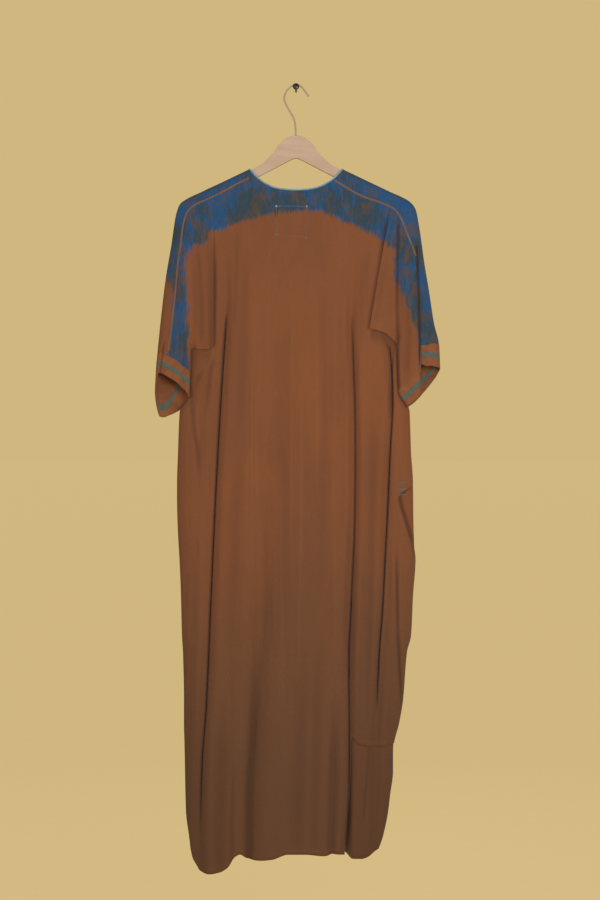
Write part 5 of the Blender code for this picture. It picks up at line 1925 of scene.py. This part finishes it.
# With no window the rotate operator turns the other way
WINDOWLESS_TURN = -1.0
HOOK_ROUTE = (
    (25.2, 19.0), (17.5, 8.0), (9.5, -1.0), (0.5, -4.4), (-9.0, -1.0), (-17.0, 6.5), (-22.4, 16.0),
    (-23.2, 27.0), (-18.0, 39.5), (-9.0, 55.0), (-3.2, 67.0), (-1.2, 80.0), (-0.4, 97.2), (-0.4, 100.0),
)


def smooth_route(points, per_span):
    """A smooth path through points, with per_span steps from one to the next."""
    points = np.array(points, float)
    before = np.vstack((2 * points[0] - points[1], points[:-1]))
    after = np.vstack((points[1:], 2 * points[-1] - points[-2]))
    tangents = (after - before) / 2
    route = []
    for k in range(len(points) - 1):
        for step in range(per_span):
            t = step / per_span
            route.append(
                points[k] * (1 - 3 * t * t + 2 * t ** 3) + tangents[k] * (t - 2 * t * t + t ** 3)
                + points[k + 1] * (3 * t * t - 2 * t ** 3) + tangents[k + 1] * (t ** 3 - t * t)
            )
    route.append(points[-1])
    return np.array(route)


class KAFTAN_OT_hook(KaftanOperator, bpy.types.Operator):
    """Bent wire hook with a rounded tip"""

    bl_idname = "kaftan.hook"
    bl_label = "Hook"

    def execute(self, context):
        route = smooth_route(HOOK_ROUTE, 6)
        radius = self.sizes.wire
        centres = [Vector((x * MM, HANG_PLANE * MM, -drop * MM)) for x, drop in route]
        ahead = [(b - a).normalized() for a, b in zip(centres[:-1], centres[1:])]
        facings = [ahead[0]] + [(a + b).normalized() for a, b in zip(ahead[:-1], ahead[1:])] + [ahead[-1]]
        turns = [math.atan2(facing.x, facing.z) for facing in facings]
        bpy.ops.object.select_all(action="DESELECT")
        bpy.ops.mesh.primitive_circle_add(
            vertices=20, radius=radius, fill_type="NGON", location=centres[0], rotation=(0.0, turns[0], 0.0)
        )
        made = start_piece("hook_wire")
        bpy.ops.mesh.select_mode(type="FACE")
        bpy.ops.mesh.select_all(action="SELECT")
        for k in range(1, len(centres)):
            step, centre = tuple(centres[k] - centres[k - 1]), tuple(centres[k])
            bpy.ops.mesh.extrude_region_move(TRANSFORM_OT_translate={"value": step})
            turn = WINDOWLESS_TURN * math.remainder(turns[k] - turns[k - 1], 2 * math.pi)
            bpy.ops.transform.rotate(value=turn, orient_axis="Y", center_override=centre)
        round_edges(made, radius * 0.7, 4, 60.0)
        end_shaping(made, 40.0)
        paint = metal_material("dulled wire", self.colours.wire, self.colours.wire_dull, 0.70, 0.80, 0.25)
        finish_piece(made, paint, "hook_wire", "hanger_hook")
        return {"FINISHED"}


class KAFTAN_OT_nail(KaftanOperator, bpy.types.Operator):
    """Round-headed wall nail"""

    bl_idname = "kaftan.nail"
    bl_label = "Nail"

    def execute(self, context):
        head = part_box("wall_nail")[0][1]
        back = (HANG_PLANE - self.sizes.wire / MM - 2.0) * MM
        shank = 0.00225
        bpy.ops.object.select_all(action="DESELECT")
        bpy.ops.mesh.primitive_cylinder_add(
            vertices=40, radius=shank, depth=-back, location=(0.0, back / 2, 0.0),
            rotation=(math.pi / 2, 0.0, 0.0),
        )
        made = start_piece("nail_turned")
        pick(made, "FACE", lambda middle, face: face.normal.y < -0.9)
        profile = [(0.0056, back), (0.0062, back - 0.0003)]
        for share in np.linspace(0.0, 0.94, 9):
            turn = share * math.pi / 2
            rise = (head - back + 0.0008) * math.sin(turn)
            profile.append((0.0065 * math.cos(turn) ** 0.9, back - 0.0008 + rise))
        wide, at = shank, back
        for radius, y in profile:
            draw_out((0.0, y - at, 0.0), (radius / wide, 1.0, radius / wide), (0.0, y, 0.0))
            wide, at = radius, y
        draw_out((0.0, head - at, 0.0), (0.3, 1.0, 0.3), (0.0, head, 0.0))
        end_shaping(made, 35.0)
        paint = metal_material("dark nail", self.colours.nail, self.colours.nail_worn, 0.28, 0.5, 0.85)
        finish_piece(made, paint, "nail_iron", "wall_nail")
        return {"FINISHED"}


class KAFTAN_PT_panel(bpy.types.Panel):
    """Steps of the kaftan in the order that they are built"""

    bl_idname = "KAFTAN_PT_panel"
    bl_label = "Kaftan"
    bl_space_type = "VIEW_3D"
    bl_region_type = "UI"
    bl_category = "Kaftan"

    def draw(self, context):
        for step in STEPS:
            self.layout.operator(step.bl_idname)
        for group in ("kaftan_sizes", "kaftan_colours", "kaftan_stage"):
            box = self.layout.box()
            settings = getattr(context.scene, group)
            for setting in settings.bl_rna.properties:
                if not setting.is_readonly and setting.identifier != "name":
                    box.prop(settings, setting.identifier)


STEPS = (
    KAFTAN_OT_stage, KAFTAN_OT_hanger, KAFTAN_OT_hook, KAFTAN_OT_nail, KAFTAN_OT_back_panel,
    KAFTAN_OT_fronts, KAFTAN_OT_placket, KAFTAN_OT_sleeves, KAFTAN_OT_cuffs, KAFTAN_OT_neck_binding,
    KAFTAN_OT_stitching, KAFTAN_OT_buttons,
)
CLASSES = (KaftanSizes, KaftanColours, KaftanStage, *STEPS, KAFTAN_PT_panel)


def register():
    for part in CLASSES:
        bpy.utils.register_class(part)
    bpy.types.Scene.kaftan_sizes = PointerProperty(type=KaftanSizes)
    bpy.types.Scene.kaftan_colours = PointerProperty(type=KaftanColours)
    bpy.types.Scene.kaftan_stage = PointerProperty(type=KaftanStage)


def unregister():
    del bpy.types.Scene.kaftan_stage
    del bpy.types.Scene.kaftan_colours
    del bpy.types.Scene.kaftan_sizes
    for part in reversed(CLASSES):
        bpy.utils.unregister_class(part)


def main():
    register()
    bpy.ops.object.select_all(action="DESELECT")
    bpy.ops.kaftan.stage()
    bpy.ops.kaftan.hanger()
    bpy.ops.kaftan.hook()
    bpy.ops.kaftan.nail()
    bpy.ops.kaftan.back_panel()
    bpy.ops.kaftan.fronts()
    bpy.ops.kaftan.placket()
    bpy.ops.kaftan.sleeves()
    bpy.ops.kaftan.cuffs()
    bpy.ops.kaftan.neck_binding()
    bpy.ops.kaftan.stitching()
    bpy.ops.kaftan.buttons()
    bpy.context.view_layer.update()


if __name__ == "__main__":
    main()
